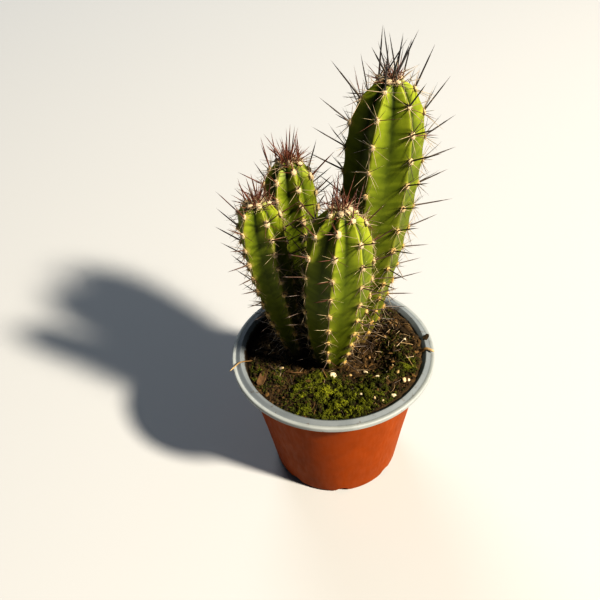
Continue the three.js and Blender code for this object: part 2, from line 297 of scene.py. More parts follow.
def finish(name, **constants):
    """A new material and its node tree, with the constants set on its shader."""
    material = bpy.data.materials.new(name)
    material.use_nodes = True
    shader = material.node_tree.nodes["Principled BSDF"]
    for key, value in constants.items():
        shader.inputs[key.replace("_", " ")].default_value = value
    return material, material.node_tree


def dressed(material, **sockets):
    """The material, with sockets of its tree joined to the inputs of its shader."""
    tree = material.node_tree
    for key, socket in sockets.items():
        tree.links.new(socket, tree.nodes["Principled BSDF"].inputs[key.replace("_", " ")])
    print("finish", material.name, len(tree.nodes), "nodes")
    return material


print("node helpers ready")

# %% [markdown]
# ## Small tools for meshes
# Most of this plant is thousands of small alike things, so the meshes are computed as arrays of points
# and faces. One helper turns them into a piece that rides on the plant's body. Another gives smooth
# random lumps that come out the same in each run.

# %% Mesh helpers


def make_piece(name, points, faces, materials, slot, marks=None, smooth=True, face_kinds=None):
    """A mesh object from points in millimetres, riding on the one body."""
    mesh = bpy.data.meshes.new(name)
    mesh.from_pydata((np.asarray(points) * MM).tolist(), [], faces)
    for key, values in (marks or {}).items():
        layer = mesh.attributes.new(key, "FLOAT", "POINT")
        layer.data.foreach_set("value", np.asarray(values, np.float32))
    mesh.polygons.foreach_set("use_smooth", [smooth] * len(mesh.polygons))
    for material in materials:
        mesh.materials.append(material)
    if face_kinds is not None:
        mesh.polygons.foreach_set("material_index", face_kinds)
    mesh.validate()
    mesh.update()
    piece = bpy.data.objects.new(name, mesh)
    bpy.context.collection.objects.link(piece)
    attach(piece, "root")
    corners = sum(len(p.vertices) - 2 for p in mesh.polygons)
    print(name, len(mesh.vertices), "points", corners, "triangles")
    return piece


def lumps(points, size, seed=0):
    """Smooth random values from 0 to 1 at points, with lumps of about size millimetres."""
    place = np.asarray(points, float) / size + seed * 17.31
    cell = np.floor(place).astype(np.int64)
    inside = place - cell
    inside = inside * inside * (3 - 2 * inside)
    axes = place.shape[-1]
    total = np.zeros(place.shape[:-1])
    for corner in range(2**axes):
        step = np.array([(corner >> axis) & 1 for axis in range(axes)])
        weight = np.prod(np.where(step, inside, 1 - inside), axis=-1)
        mixed_up = (cell + step) @ np.array([73856093, 19349663, 83492791][:axes])
        mixed_up = (mixed_up ^ (mixed_up >> 13)) * 1274126177 & 0x7FFFFFFF
        total += weight * ((mixed_up ^ (mixed_up >> 15)) % 65536) / 65535
    return total


def grid_faces(rows, columns, first=0, closed=True):
    """Four-sided faces of a grid of points, row by row, closed into a ring of columns."""
    row = np.arange(rows - 1)[:, None] * columns + first
    column = np.arange(columns if closed else columns - 1)[None, :]
    beside = (column + 1) % columns
    faces = np.stack([row + column, row + beside, row + beside + columns, row + column + columns], axis=-1)
    return faces.reshape(-1, 4)


def capped(rows, sides):
    """Faces of a tube of rings between two points: the triangles of both ends, and the sides."""
    side = np.arange(sides)
    beside = (side + 1) % sides
    last = 1 + (rows - 1) * sides
    start = np.stack([side * 0, 1 + beside, 1 + side], axis=-1)
    end = np.stack([last + side, last + beside, side * 0 + last + sides], axis=-1)
    return np.concatenate([start, end]), grid_faces(rows, sides, 1)


def joined(parts):
    """One set of points and faces from several (points, faces) pairs."""
    points, faces, count = [], [], 0
    for made, made_faces in parts:
        points.append(made)
        faces += [[corner + count for corner in face] for face in made_faces]
        count += len(made)
    return np.concatenate(points), faces


def unit(vectors):
    """Vectors of length 1."""
    return vectors / np.maximum(np.linalg.norm(vectors, axis=-1, keepdims=True), 1e-9)


def crosswise(ways):
    """Two directions at right angles to each way and to each other."""
    helper = np.where(np.abs(ways[:, 2:3]) < 0.9, [[0.0, 0.0, 1.0]], [[1.0, 0.0, 0.0]])
    first = unit(np.cross(ways, helper))
    return first, np.cross(ways, first)


def strands(paths, radii, sides=5):
    """Closed tubes along paths, pointed at both ends, with the tube and the path step of each point."""
    count, steps = paths.shape[:2]
    ways = unit(np.gradient(paths, axis=1)[:, 1:-1])
    first, second = crosswise(ways.reshape(-1, 3))
    turn = np.arange(sides) * 2 * math.pi / sides
    rim = np.cos(turn)[:, None] * first[:, None] + np.sin(turn)[:, None] * second[:, None]
    rings = paths[:, 1:-1].reshape(-1, 1, 3) + rim * radii[:, 1:-1].reshape(-1, 1, 1)
    rings = rings.reshape(count, -1, 3)
    points = np.concatenate([paths[:, :1], rings, paths[:, -1:]], axis=1)
    each = points.shape[1]
    starts = np.arange(count)[:, None, None] * each
    ends, flanks = capped(steps - 2, sides)
    faces = (ends + starts).reshape(-1, 3).tolist() + (flanks + starts).reshape(-1, 4).tolist()
    step = np.concatenate([[0], np.repeat(np.arange(1, steps - 1), sides), [steps - 1]])
    return points.reshape(-1, 3), faces, np.repeat(np.arange(count), each), np.tile(step, count)


# Places along a needle from its root under the skin to its point, with its width at each of them
SPINE_FORM = ((-0.05, 1.0), (0.0, 1.3), (0.06, 1.0), (0.65, 0.75), (1.0, 0.0))
HAIR_FORM = ((-0.05, 1.0), (0.4, 1.0), (1.0, 0.0))


def needles(roots, ways, lengths, radii, bends, sides=5, form=SPINE_FORM):
    """Needles from roots along ways, each bent aside by a share of its length."""
    places, widths = np.array(form).T
    aside = crosswise(ways)[0] * (bends * lengths)[:, None]
    paths = roots[:, None] + (ways * lengths[:, None])[:, None] * places[None, :, None]
    paths += aside[:, None] * places[None, :, None] ** 2
    points, faces, owner, step = strands(paths, radii[:, None] * widths, sides)
    return points, faces, owner, np.maximum(places[step], 0)


def ball_shape(detail):
    """Points and faces of a round ball of radius 1."""
    ball = bmesh.new()
    bmesh.ops.create_icosphere(ball, subdivisions=detail, radius=1)
    points = np.array([v.co[:] for v in ball.verts])
    faces = np.array([[v.index for v in f.verts] for f in ball.faces])
    ball.free()
    return points, faces


def copies(shape, frames):
    """Copies of a (points, faces) shape, one for each 3 by 4 frame of axes and place."""
    points, faces = shape
    placed = np.einsum("nij,pj->npi", frames[:, :, :3], points) + frames[:, None, :, 3]
    shifted = faces[None] + (np.arange(len(frames)) * len(points))[:, None, None]
    return placed.reshape(-1, 3), shifted.reshape(-1, faces.shape[1]).tolist()


print("mesh helpers ready")

# %% [markdown]
# ## The pot
# A nursery pot is formed from one thin plastic sheet, orange on the outside and light grey on the
# inside. It could be turned with a screw modifier. Here its section is a short list of corners, each
# with its own rounding, and one function sweeps it round, so the mix can use the same function. The
# drain notches at the foot are cut with one Boolean modifier, which is applied at once.

# %% A turned shape
LIP_WIDTH = 5.1
LIP_FALL = 1.5
EDGE_ROLL = 2.6
EDGE_WIDTH = 1.4
THROAT_DROP = 2.4
POT_SIDES = 192


def rounded(corners, steps=5):
    """An outline with its corners rounded. Each corner is (radius, height, rounding)."""
    outline = []
    places = [np.array(corner[:2], float) for corner in corners]
    for i, (radius, height, rounding) in enumerate(corners):
        if rounding == 0:
            outline.append((radius, height))
            continue
        before = places[i] + unit(places[i - 1] - places[i]) * rounding
        after = places[i] + unit(places[i + 1] - places[i]) * rounding
        for share in np.linspace(0, 1, steps):
            outline.append(tuple(
                before * (1 - share) ** 2 + places[i] * 2 * share * (1 - share) + after * share**2
            ))
    return outline


def turned(outline, sides):
    """Points and faces of an outline turned about Z. It starts and ends on the axis."""
    turn = np.arange(sides) * 2 * math.pi / sides
    rim = np.stack([np.cos(turn), np.sin(turn), turn * 0], axis=-1)
    rings = [rim * radius + [0, 0, height] for radius, height in outline[1:-1]]
    points = np.concatenate([[[0, 0, outline[0][1]]], *rings, [[0, 0, outline[-1][1]]]])
    ends, flanks = capped(len(rings), sides)
    return points, ends.tolist() + flanks.tolist()


edge_top = POT_HEIGHT - LIP_FALL
lip_inside = RIM_RADIUS - LIP_WIDTH
edge_inside = RIM_RADIUS - EDGE_WIDTH
pot_outline = rounded([
    (0, 0, 0),
    (FOOT_RADIUS - FOOT_CORNER - 6, 0, 0),
    (FOOT_RADIUS, 0, FOOT_CORNER),
    (wall_radius(30), 30, 0),
    (wall_radius(60), 60, 0),
    (wall_radius(edge_top - 1.6), edge_top - 1.6, 0.8),
    (lip_inside + 1.4, edge_top - 0.9, 0.8),
    (edge_inside, edge_top - 1, 0.3),
    (edge_inside, edge_top - EDGE_ROLL, 0.3),
    (RIM_RADIUS - 0.3, edge_top - EDGE_ROLL, 0.4),
    (RIM_RADIUS, edge_top + 0.45, 0.9),
    (edge_inside - 0.2, edge_top + 0.6, 0.7),
    (edge_inside - 1.0, edge_top + 0.2, 0.5),
    (lip_inside + 0.9, POT_HEIGHT - 0.35, 0.5),
    (lip_inside, POT_HEIGHT, 0.4),
    (wall_radius(POT_HEIGHT - THROAT_DROP) - WALL, POT_HEIGHT - THROAT_DROP, 0.7),
    (wall_radius(40) - WALL, 40, 0),
    (FOOT_RADIUS - WALL, WALL, FOOT_CORNER),
    (FOOT_RADIUS - FOOT_CORNER - 6, WALL, 0),
    (0, WALL, 0),
])
print("pot outline", len(pot_outline), "corners")

# %% [markdown]
# The sheet's two colours meet at the rolled edge. Both are satin plastic: the colour drifts a little,
# handling has left faint scuffs that change the roughness, and dust from the mix has settled in patches.
# The edge is glossier, and its grey is painted lighter as a highlight where it catches the light. The
# inside has a stain where the mix has wetted it, which is also painted shade down the wall below the lip.

# %% Plastic of the pot
STAIN_AND_SHADE_FADE = (SOIL_LEVEL, POT_HEIGHT - 0.5)
STAIN_AND_SHADE = (0.02, 0.014, 0.008)
PLASTICS = {
    "pot_orange": dict(
        dark=(0.21, 0.041, 0.001), light=(0.25, 0.05, 0.0015), dust=(0.17, 0.055, 0.01), dusty=0.68
    ),
    # The edge's lighter grey is a painted highlight of the rolled edge
    "pot_edge_painted_highlight": dict(
        dark=(0.24, 0.255, 0.25), light=(0.3, 0.315, 0.31), dust=(0.14, 0.12, 0.1), dusty=0.66, gloss=0.5
    ),
    "pot_grey": dict(
        dark=(0.14, 0.155, 0.165), light=(0.18, 0.195, 0.205), dust=(0.09, 0.07, 0.05), dusty=0.62
    ),
    "pot_inside": dict(
        dark=(0.15, 0.16, 0.165), light=(0.19, 0.2, 0.205), dust=(0.05, 0.035, 0.02), dusty=0.5,
        stained_and_shaded=True,
    ),
}


def pot_plastic(name, dark, light, dust, dusty, gloss=0.12, stained_and_shaded=False):
    """One of the sheet's colours, with patches of dust, and a stain with painted shade that fades out
    towards the lip.
    """
    material, tree = finish(name, IOR=1.46, Specular_IOR_Level=gloss)
    drift = noise(tree, 14, detail=4, distortion=0.6)
    colour = ramp(tree, drift, [(0.3, dark), (0.7, light)])
    # The darkening below the lip is partly the mix's wetting and partly painted shade inside the wall
    if stained_and_shaded:
        height = add(tree, "SeparateXYZ", {"Vector": add(tree, "TexCoord").outputs["Object"]}).outputs["Z"]
        low, high = STAIN_AND_SHADE_FADE
        above = add(tree, "MapRange", {"Value": height, "From Min": low * MM, "From Max": high * MM})
        splash = add(tree, "Math", {0: noise(tree, 2.5, detail=6), 1: 0.55}, operation="MULTIPLY")
        depth = add(tree, "Math", {0: above.outputs[0], 1: splash.outputs[0]}, operation="SUBTRACT")
        colour = mixed(tree, ramp(tree, depth.outputs[0], grey(0.3, 0.62)), STAIN_AND_SHADE, colour)
    patches = ramp(tree, noise(tree, 3.2, detail=8, distortion=0.4), grey(dusty, dusty + 0.16))
    colour = mixed(tree, patches, colour, dust)
    scuffs = noise(tree, 2.2, detail=6, stretch=(1, 1, 0.2))
    shine = ramp(tree, scuffs, levels((0.35, 0.5), (0.7, 0.66)))
    return dressed(material, Base_Color=colour, Roughness=shine, Normal=bump(tree, scuffs, 0.05, 0.5))


plastics = [pot_plastic(name, **facts) for name, facts in PLASTICS.items()]

# %% Turn the pot and cut its notches
NOTCHES = 8
NOTCH_TURN = 46.5
NOTCH_WIDTH = 9
NOTCH_HEIGHT = 4.5
NOTCH_DEPTH = 3
NOTCH_SIDES = 32
SHARP_ANGLE = 40


def cut_notches(pot):
    """Cuts the drain notches out of the foot with one Boolean modifier, and applies it."""
    outline = [(0, -NOTCH_DEPTH), (1, -NOTCH_DEPTH), (1, NOTCH_DEPTH), (0, NOTCH_DEPTH)]
    points, faces = turned(outline, NOTCH_SIDES)
    cutters = []
    for i in range(NOTCHES):
        bearing = math.radians(NOTCH_TURN + 360 * i / NOTCHES)
        outwards = np.array([math.sin(bearing), -math.cos(bearing), 0])
        beside = np.array([math.cos(bearing), math.sin(bearing), 0])
        axes = np.stack([beside * NOTCH_WIDTH / 2, [0, 0, NOTCH_HEIGHT], outwards])
        cutters.append((points @ axes + outwards * FOOT_RADIUS, faces))
    points, faces = joined(cutters)
    mesh = bpy.data.meshes.new("notches")
    mesh.from_pydata((points * MM).tolist(), [], faces)
    cutter = bpy.data.objects.new("notches", mesh)
    bpy.context.collection.objects.link(cutter)
    cut = pot.modifiers.new("cut", "BOOLEAN")
    cut.operation = "DIFFERENCE"
    cut.solver = "EXACT"
    cut.object = cutter
    bpy.context.view_layer.update()
    shown = pot.evaluated_get(bpy.context.evaluated_depsgraph_get())
    pot.data = bpy.data.meshes.new_from_object(shown)
    pot.modifiers.clear()
    bpy.data.objects.remove(cutter)


def pot_kind(face):
    """Which plastic a face shows: 0 orange, 1 the rolled edge with its painted highlight, 2 the grey lip,
    3 the inside with its stain and painted shade.
    """
    middle = pot_points[face].mean(axis=0)
    radius = math.hypot(middle[0], middle[1])
    if min(face) < edge_first:
        return 0
    if radius > edge_inside - 0.7:
        return 1
    return 2 if middle[2] > POT_HEIGHT - 1.6 else 3


pot_points, pot_faces = turned(pot_outline, POT_SIDES)
edge_row = next(i for i, corner in enumerate(pot_outline) if corner[0] >= edge_inside - 0.4) - 1
edge_first = 1 + edge_row * POT_SIDES
pot_kinds = [pot_kind(face) for face in pot_faces]
pot = make_piece("pot_cup", pot_points, pot_faces, plastics, "pot", face_kinds=pot_kinds)
cut_notches(pot)
pot.data.set_sharp_from_angle(angle=math.radians(SHARP_ANGLE))
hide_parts("pot")
print("pot_cup cut", len(pot.data.vertices), "points")

# %% [markdown]
# ## The stems as a formula
# A stem of this cactus is a column with five to seven blunt ribs. Its flanks are nearly flat, so low down
# it is almost a prism, and only near the growing crown do they meet in deep valleys. It could be
# sculpted, but here it is a formula, the same one that shaped the measured solid: a bent axis, the
# radius of the crests along it, and the flanks between them. The skin, the felt pads and the spines all
# ask the formula where they are, so they fit each other.

# %% The four stems
PEG_DEPTH = 15
PEG_TAPER = 0.35
FOOT_HOLLOW = 0.01
CROWN_HOLLOW = 0.25
HOLLOW_CROWDING = 2.5
LAST_ROW = 0.997
CREST_STEPS = 160
AGED_FROM = 0.4
LOWEST_AREOLE = SOIL_LEVEL + 4.5
CREST_ROUNDING = 0.05
VALLEY_ROUNDING = (0.25, 0.05)

STEMS = [
    dict(
        name="stem_tall", ribs=6, base=(16.4, 19.9), crown=(36.1, 36.1, POT_HEIGHT + 149.3),
        bow=(5.9, 12.9), radius=20.7, foot_share=0.46, shoulder=0.7, blunt=2.66, turn=-34, twist=6.2,
        gap=(14, 7.8), first_areole=(10, 4.1, 14.2, 7, 11, 5.2), spine=(25, 15), crown_spines=7, seed=11,
        tones=(0.8, 1.0),
    ),
    dict(
        name="stem_front", ribs=7, base=(-0.7, -0.2), crown=(6.2, -15, POT_HEIGHT + 108.1),
        bow=(-1.9, -5), radius=18.1, foot_share=0.5, shoulder=0.58, blunt=3, turn=-16, twist=2.4,
        gap=(12.8, 10.4), first_areole=(13.6, 7.8, 15, 4, 10.5, 6, 7), spine=(18, 12), crown_spines=5,
        seed=23, tones=(0.7, 0.45),
    ),
    dict(
        name="stem_left", ribs=5, base=(-21.5, 7.6), crown=(-36.1, 2.6, POT_HEIGHT + 104.2),
        bow=(-6, 2.6), radius=12.2, foot_share=0.34, shoulder=0.73, blunt=3.9, turn=37.5, twist=-10.1,
        gap=(9.8, 7), first_areole=(3.4, 7.1, 5, 5.6, 9.9), spine=(17, 10), crown_spines=5, seed=37,
        tones=(0.7, 0.45),
    ),
    dict(
        name="stem_back", ribs=7, base=(-16.8, 24.1), crown=(-18.7, 39.9, POT_HEIGHT + 105.1),
        bow=(-0.1, 4.1), radius=14.85, foot_share=0.5, shoulder=0.66, blunt=4.57, turn=-11.4, twist=-22.9,
        gap=(9.5, 9.6), first_areole=(6, 9.7, 6.7, 8, 5.5, 9, 10.9), spine=(19, 11), crown_spines=6,
        seed=53, tones=(0.66, 0.4),
    ),
]


def random_from(seed):
    """Repeatable random numbers from 0 to 1."""
    state = seed
    whole = 0xFFFFFFFF

    def draw():
        nonlocal state
        state = (state + 0x6D2B79F5) & whole
        stirred = ((state ^ (state >> 15)) * (1 | state)) & whole
        stirred = ((stirred + (((stirred ^ (stirred >> 7)) * (61 | stirred)) & whole)) & whole) ^ stirred
        return ((stirred ^ (stirred >> 14)) & whole) / (whole + 1)

    return draw


def rounded_off(x, rounding):
    """Runs from 0 to 1 with x, but leaves 0 gently, as a rounded corner does."""
    return (np.sqrt(x**2 + rounding**2) - rounding) / (np.sqrt(1 + rounding**2) - rounding)


class Stem:
    """A ribbed stem: t runs from -1 at the peg's end over 0 at the mix to 1 at the crown."""

    def __init__(self, facts):
        self.__dict__.update(facts)
        self.foot = np.array([*self.base, SOIL_LEVEL])
        self.top = np.array(self.crown, float)
        self.middle = (self.foot + self.top) / 2 + [*self.bow, 0]
        self.random = random_from(self.seed)

    def frame_at(self, t):
        """The axis point and the directions up, across and away at t."""
        t = np.asarray(t, float)[..., None]
        along = np.maximum(t, 0)
        centre = (1 - along) ** 2 * self.foot + 2 * (1 - along) * along * self.middle + along**2 * self.top
        up = unit((1 - along) * (self.middle - self.foot) + along * (self.top - self.middle))
        across = unit(np.cross([0, 1, 0], up))
        return centre + up * np.minimum(t, 0) * PEG_DEPTH, up, across, np.cross(up, across)

    def crest(self, t):
        """Radius of the rib crests at t."""
        t = np.asarray(t, float)
        swell = np.sin(np.clip(t / self.shoulder, 0, 1) * math.pi / 2)
        column = self.foot_share + (1 - self.foot_share) * swell
        peg = self.foot_share * (1 + PEG_TAPER * t)
        over = np.clip((t - self.shoulder) / (1 - self.shoulder), 0, 1)
        dome = np.sqrt(1 - over**self.blunt)
        return self.radius * np.where(t < 0, peg, np.where(t < self.shoulder, column, dome))

    def tone_at(self, t):
        """The tone of the spines at t, from pale at 0 over red-brown and grey-brown to black at 1."""
        return self.tones[0] + (self.tones[1] - self.tones[0]) * t**3

    def ridge(self, angle):
        """1 on a crest and 0 in a valley."""
        return 1 - 2 * np.abs((angle * self.ribs / 360 + 0.5) % 1 - 0.5)

    def flank(self, t, angle):
        """How far out the skin is against the crests: a flank runs straight from crest to valley."""
        sector = math.pi / self.ribs
        late = np.maximum(t, 0) ** HOLLOW_CROWDING
        valley = math.cos(sector) * (1 - FOOT_HOLLOW - (CROWN_HOLLOW - FOOT_HOLLOW) * late)
        rounding = VALLEY_ROUNDING[0] + (VALLEY_ROUNDING[1] - VALLEY_ROUNDING[0]) * late
        aside = rounded_off(1 - self.ridge(angle), CREST_ROUNDING)
        turn = (1 - rounded_off(1 - aside, rounding)) * sector
        return valley * math.sin(sector) / (np.sin(turn) + valley * np.sin(sector - turn))

    def surface(self, t, angle, grow=0.0):
        """A point of the skin, angle degrees round from the first rib, pushed out by grow."""
        t, angle = np.broadcast_arrays(np.asarray(t, float), np.asarray(angle, float))
        centre, _, across, away = self.frame_at(t)
        radius = (self.crest(t) * self.flank(t, angle) + grow)[..., None]
        bearing = np.radians(self.turn + self.twist * np.maximum(t, 0) + angle)[..., None]
        return centre + across * np.sin(bearing) * radius - away * np.cos(bearing) * radius


stems = [Stem(facts) for facts in STEMS]
print("stems", [(stem.name, stem.ribs, round(float(stem.top[2]))) for stem in stems])

# %% [markdown]
# ## Where the areoles sit
# An areole is the felted pad that spines grow from. Down each crest they follow one another with a
# nearly even gap. The walk below steps down a crest by its true length, which is the rule that placed
# the measured solid's spines too, and keeps three directions for each areole: out of the skin, up the
# rib and round the stem.

# %% Walk down the crests
BUD_PLACE = 3.6


def smoothstep(x, low, high):
    """Rises gently from 0 at low to 1 at high."""
    share = np.clip((x - low) / (high - low), 0, 1)
    return share * share * (3 - 2 * share)


SEAT_KEYS = ("t", "angle", "point", "out", "up", "round")


def walk_crests(stem, rib_gaps):
    """The seats down each crest as arrays. rib_gaps gives a rib's first place and the gaps after it."""
    found = []
    for rib in range(stem.ribs):
        angle = 360 * rib / stem.ribs
        down = stem.surface(1 - np.arange(CREST_STEPS + 1) / CREST_STEPS, angle)
        reach = np.concatenate([[0], np.cumsum(np.linalg.norm(np.diff(down, axis=0), axis=1))])
        following, gap = rib_gaps(rib)
        while following < reach[-1]:
            t = 1 - float(np.interp(following, reach, np.arange(CREST_STEPS + 1))) / CREST_STEPS
            point = stem.surface(t, angle)
            up = unit(stem.surface(min(t + 0.01, 1), angle) - stem.surface(t - 0.01, angle))
            round_way = unit(stem.surface(t, angle + 1) - stem.surface(t, angle - 1))
            if point[2] > LOWEST_AREOLE:
                found.append((t, angle, point, unit(np.cross(round_way, up)), up, round_way))
            aged = smoothstep(following / reach[-1], AGED_FROM, 1)
            following += gap[0] + (gap[1] - gap[0]) * aged
    return {key: np.array(column) for key, column in zip(SEAT_KEYS, zip(*found))}


def bud_gaps(stem):
    """A bud of wool close to the crown, on each rib whose first areole leaves room for one."""
    return lambda rib: (BUD_PLACE if stem.first_areole[rib] > BUD_PLACE * 2 else 1000, (1000, 1000))


for stem in stems:
    stem.areoles = walk_crests(stem, lambda rib: (stem.first_areole[rib], stem.gap))
    stem.buds = walk_crests(stem, bud_gaps(stem))
print("areoles", {stem.name: len(stem.areoles["t"]) for stem in stems})

# %% [markdown]
# ## Skin
# The skin is waxy and yellow-green. It is brightest near the growing crown and duller and browner at
# the foot, and each crest carries a pale line from areole to areole. The flanks are painted darker
# towards the valleys, most of all in the young creases near the crown: that is painted shade. The mesh
# carries these as numbers for each point, and the finish turns them into colour. The crest swells a
# little under each areole, which the mesh shows as real relief.

# %% Finish of the skin


def stem_skin_finish():
    """Green by age, with painted shade in the valleys and young creases, streaks, clouds, pale crests and
    a corky foot.
    """
    material, tree = finish("stem_skin", IOR=1.44, Specular_IOR_Level=0.2)
    ridge, age, pad, streak = (mark(tree, name) for name in ("ridge", "age", "pad", "streak"))
    # Darker towards the valleys: painted shade between the ribs. The pale line on the crest is the skin's
    # own
    young = ramp(tree, ridge, [
        (0.0, (0.08, 0.11, 0.008)), (0.35, (0.11, 0.145, 0.01)), (0.65, (0.14, 0.18, 0.013)),
        (0.95, (0.165, 0.2, 0.017)), (1.0, (0.205, 0.235, 0.03)),
    ])
    old = ramp(tree, ridge, [
        (0.0, (0.085, 0.105, 0.008)), (0.6, (0.11, 0.132, 0.01)),
        (0.95, (0.12, 0.135, 0.014)), (1.0, (0.14, 0.14, 0.025)),
    ])
    colour = mixed(tree, ramp(tree, age, grey(0.15, 0.6)), young, old)
    fresh = ramp(tree, age, [(0.0, (1.4, 1.32, 1.5)), (0.12, (1.3, 1.22, 1.3)), (0.35, (1, 1, 1))])
    colour = times(tree, colour, fresh)
    # Near the crown the young creases are painted nearly black: painted shade in the valleys
    deep = ramp(tree, ridge, levels((0.0, 1), (0.1, 0.85), (0.25, 0.4), (0.6, 0)))
    crease_shade = add(tree, "Math", {0: deep, 1: ramp(tree, age, grey(0.35, 0.03))}, operation="MULTIPLY")
    colour = mixed(tree, crease_shade.outputs[0], colour, (0.01, 0.018, 0.002))
    shade = ramp(tree, streak, [(0.25, (0.78, 0.8, 0.72)), (0.75, (1.08, 1.06, 1.1))])
    colour = times(tree, colour, shade)
    cloud = ramp(tree, noise(tree, 9, detail=5), [(0.3, (0.86, 0.88, 0.8)), (0.7, (1.1, 1.08, 1.15))])
    colour = times(tree, colour, cloud)
    colour = mixed(tree, ramp(tree, pad, grey(0.5, 1.0)), colour, (0.3, 0.27, 0.07))
    colour = mixed(tree, ramp(tree, age, grey(0.93, 1.0)), colour, (0.14, 0.10, 0.035))
    pores = noise(tree, 0.55, detail=4)
    shine = ramp(tree, pores, levels((0.3, 0.42), (0.75, 0.56)))
    return dressed(material, Base_Color=colour, Roughness=shine, Normal=bump(tree, pores, 0.06, 0.5))


stem_skin = stem_skin_finish()

# %% Grow the skins
SKIN_ROWS = 190
RIB_SECTORS = 20
PEG_ROWS = 4
ROW_CROWDING = 1.5
SWELLING = 0.75
SWELLING_REACH = (3.6, 3.0)
WAVE_SIZE = 6
WAVE_HEIGHT = 0.5
# The streaks run down the flanks in chevrons: how far they fall, how long and how many they are
CHEVRON_FALL = 5
CHEVRON_LENGTH = 1.7
CHEVRON_LANES = 1.2


def make_skin(stem):
    """The stem's skin, with the swellings that its areoles sit on."""
    over = 1 - (1 - np.linspace(0, 1, SKIN_ROWS)) ** ROW_CROWDING
    rows = np.concatenate([np.linspace(-1, 0, PEG_ROWS, endpoint=False), over * LAST_ROW])
    columns = stem.ribs * RIB_SECTORS
    t, angle = np.meshgrid(rows, np.arange(columns) * 360 / columns, indexing="ij")
    plain = stem.surface(t, angle)
    strides = np.linalg.norm(np.diff(stem.surface(rows, 0), axis=0), axis=1)
    arc = np.concatenate([[0], np.cumsum(strides)])
    pad = np.zeros(t.shape)
    for place, crest_angle in zip(stem.areoles["t"], stem.areoles["angle"]):
        down = arc[:, None] - np.interp(place, rows, arc)
        turn = (angle - crest_angle + 180) % 360 - 180
        aside = np.radians(turn) * np.maximum(stem.crest(t), 4)
        near = np.exp(-((down / SWELLING_REACH[0]) ** 2) - (aside / SWELLING_REACH[1]) ** 2)
        pad = np.maximum(pad, near)
    ridge = stem.ridge(angle)
    fade = smoothstep(t, 0.0, 0.06) * smoothstep(1 - t, 0.0, 0.03)
    waves = (lumps(plain.reshape(-1, 3), WAVE_SIZE, stem.seed).reshape(t.shape) - 0.5) * WAVE_HEIGHT
    points = stem.surface(t, angle, (pad * SWELLING + waves) * fade)
    poles = stem.frame_at(np.array([-1, LAST_ROW]))[0]
    points = np.concatenate([poles[:1], points.reshape(-1, 3), poles[1:]])
    ends, flanks = capped(len(rows), columns)
    faces = ends.tolist() + flanks.tolist()
    swung = (angle * stem.ribs / 360 + 0.5) % 1 - 0.5
    fall = (arc[:, None] + np.abs(swung) * CHEVRON_FALL) / CHEVRON_LENGTH
    chevron = np.stack([fall, swung * CHEVRON_LANES, angle / 60], axis=-1)
    streak = lumps(chevron.reshape(-1, 3), 1, stem.seed + 3).reshape(t.shape)
    marks = {"ridge": ridge, "age": 1 - np.clip(t, 0, 1), "pad": pad * fade, "streak": streak}
    values = {key: np.concatenate([[0], value.reshape(-1), [1]]) for key, value in marks.items()}
    skin = make_piece(stem.name + "_skin", points, faces, [stem_skin], "stem", values)
    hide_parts(stem.name)


for stem in stems:
    make_skin(stem)

# %% [markdown]
# ## Felt of the areoles
# Each areole is a little cushion of felt, cream at the top of the stem and golden lower down, where it
# has aged. Hair particles would be lost when the model is exported, so a pad is a lumpy ball pressed
# flat on the crest, with a fringe of short wool needles as real geometry.

# %% Finish of the felt


def felt_finish():
    """Cream felt that turns golden with age, with browner fibres in it."""
    material, tree = finish("areole_felt", Roughness=0.95, Sheen_Weight=0.3)
    age = mark(tree, "age")
    fibre = noise(tree, 0.35, detail=6)
    colour = ramp(tree, age, [
        (0.0, (0.45, 0.36, 0.23)), (0.3, (0.44, 0.33, 0.18)),
        (0.65, (0.44, 0.3, 0.11)), (1.0, (0.4, 0.25, 0.07)),
    ])
    colour = mixed(tree, ramp(tree, fibre, grey(0.6, 0.78)), colour, (0.42, 0.22, 0.08))
    return dressed(material, Base_Color=colour, Normal=bump(tree, fibre, 0.3, 0.8))


areole_felt = felt_finish()

# %% Pads and wool
PAD_SIZE = (1.6, 1.95, 0.95)
PAD_SPREAD = (0.75, 1.15)
PAD_SUNK = 0.1
PAD_LUMPS = 0.7
WOOL_HAIRS = 22
WOOL_LENGTH = (0.6, 1.5)
WOOL_RADIUS = 0.075
WOOL_BEND = (-0.4, 0.4)
WOOL_SEAT = 0.85


def scattered(random, low, high, size):
    """An array of random numbers from low to high."""
    return low + (high - low) * random.random(size)


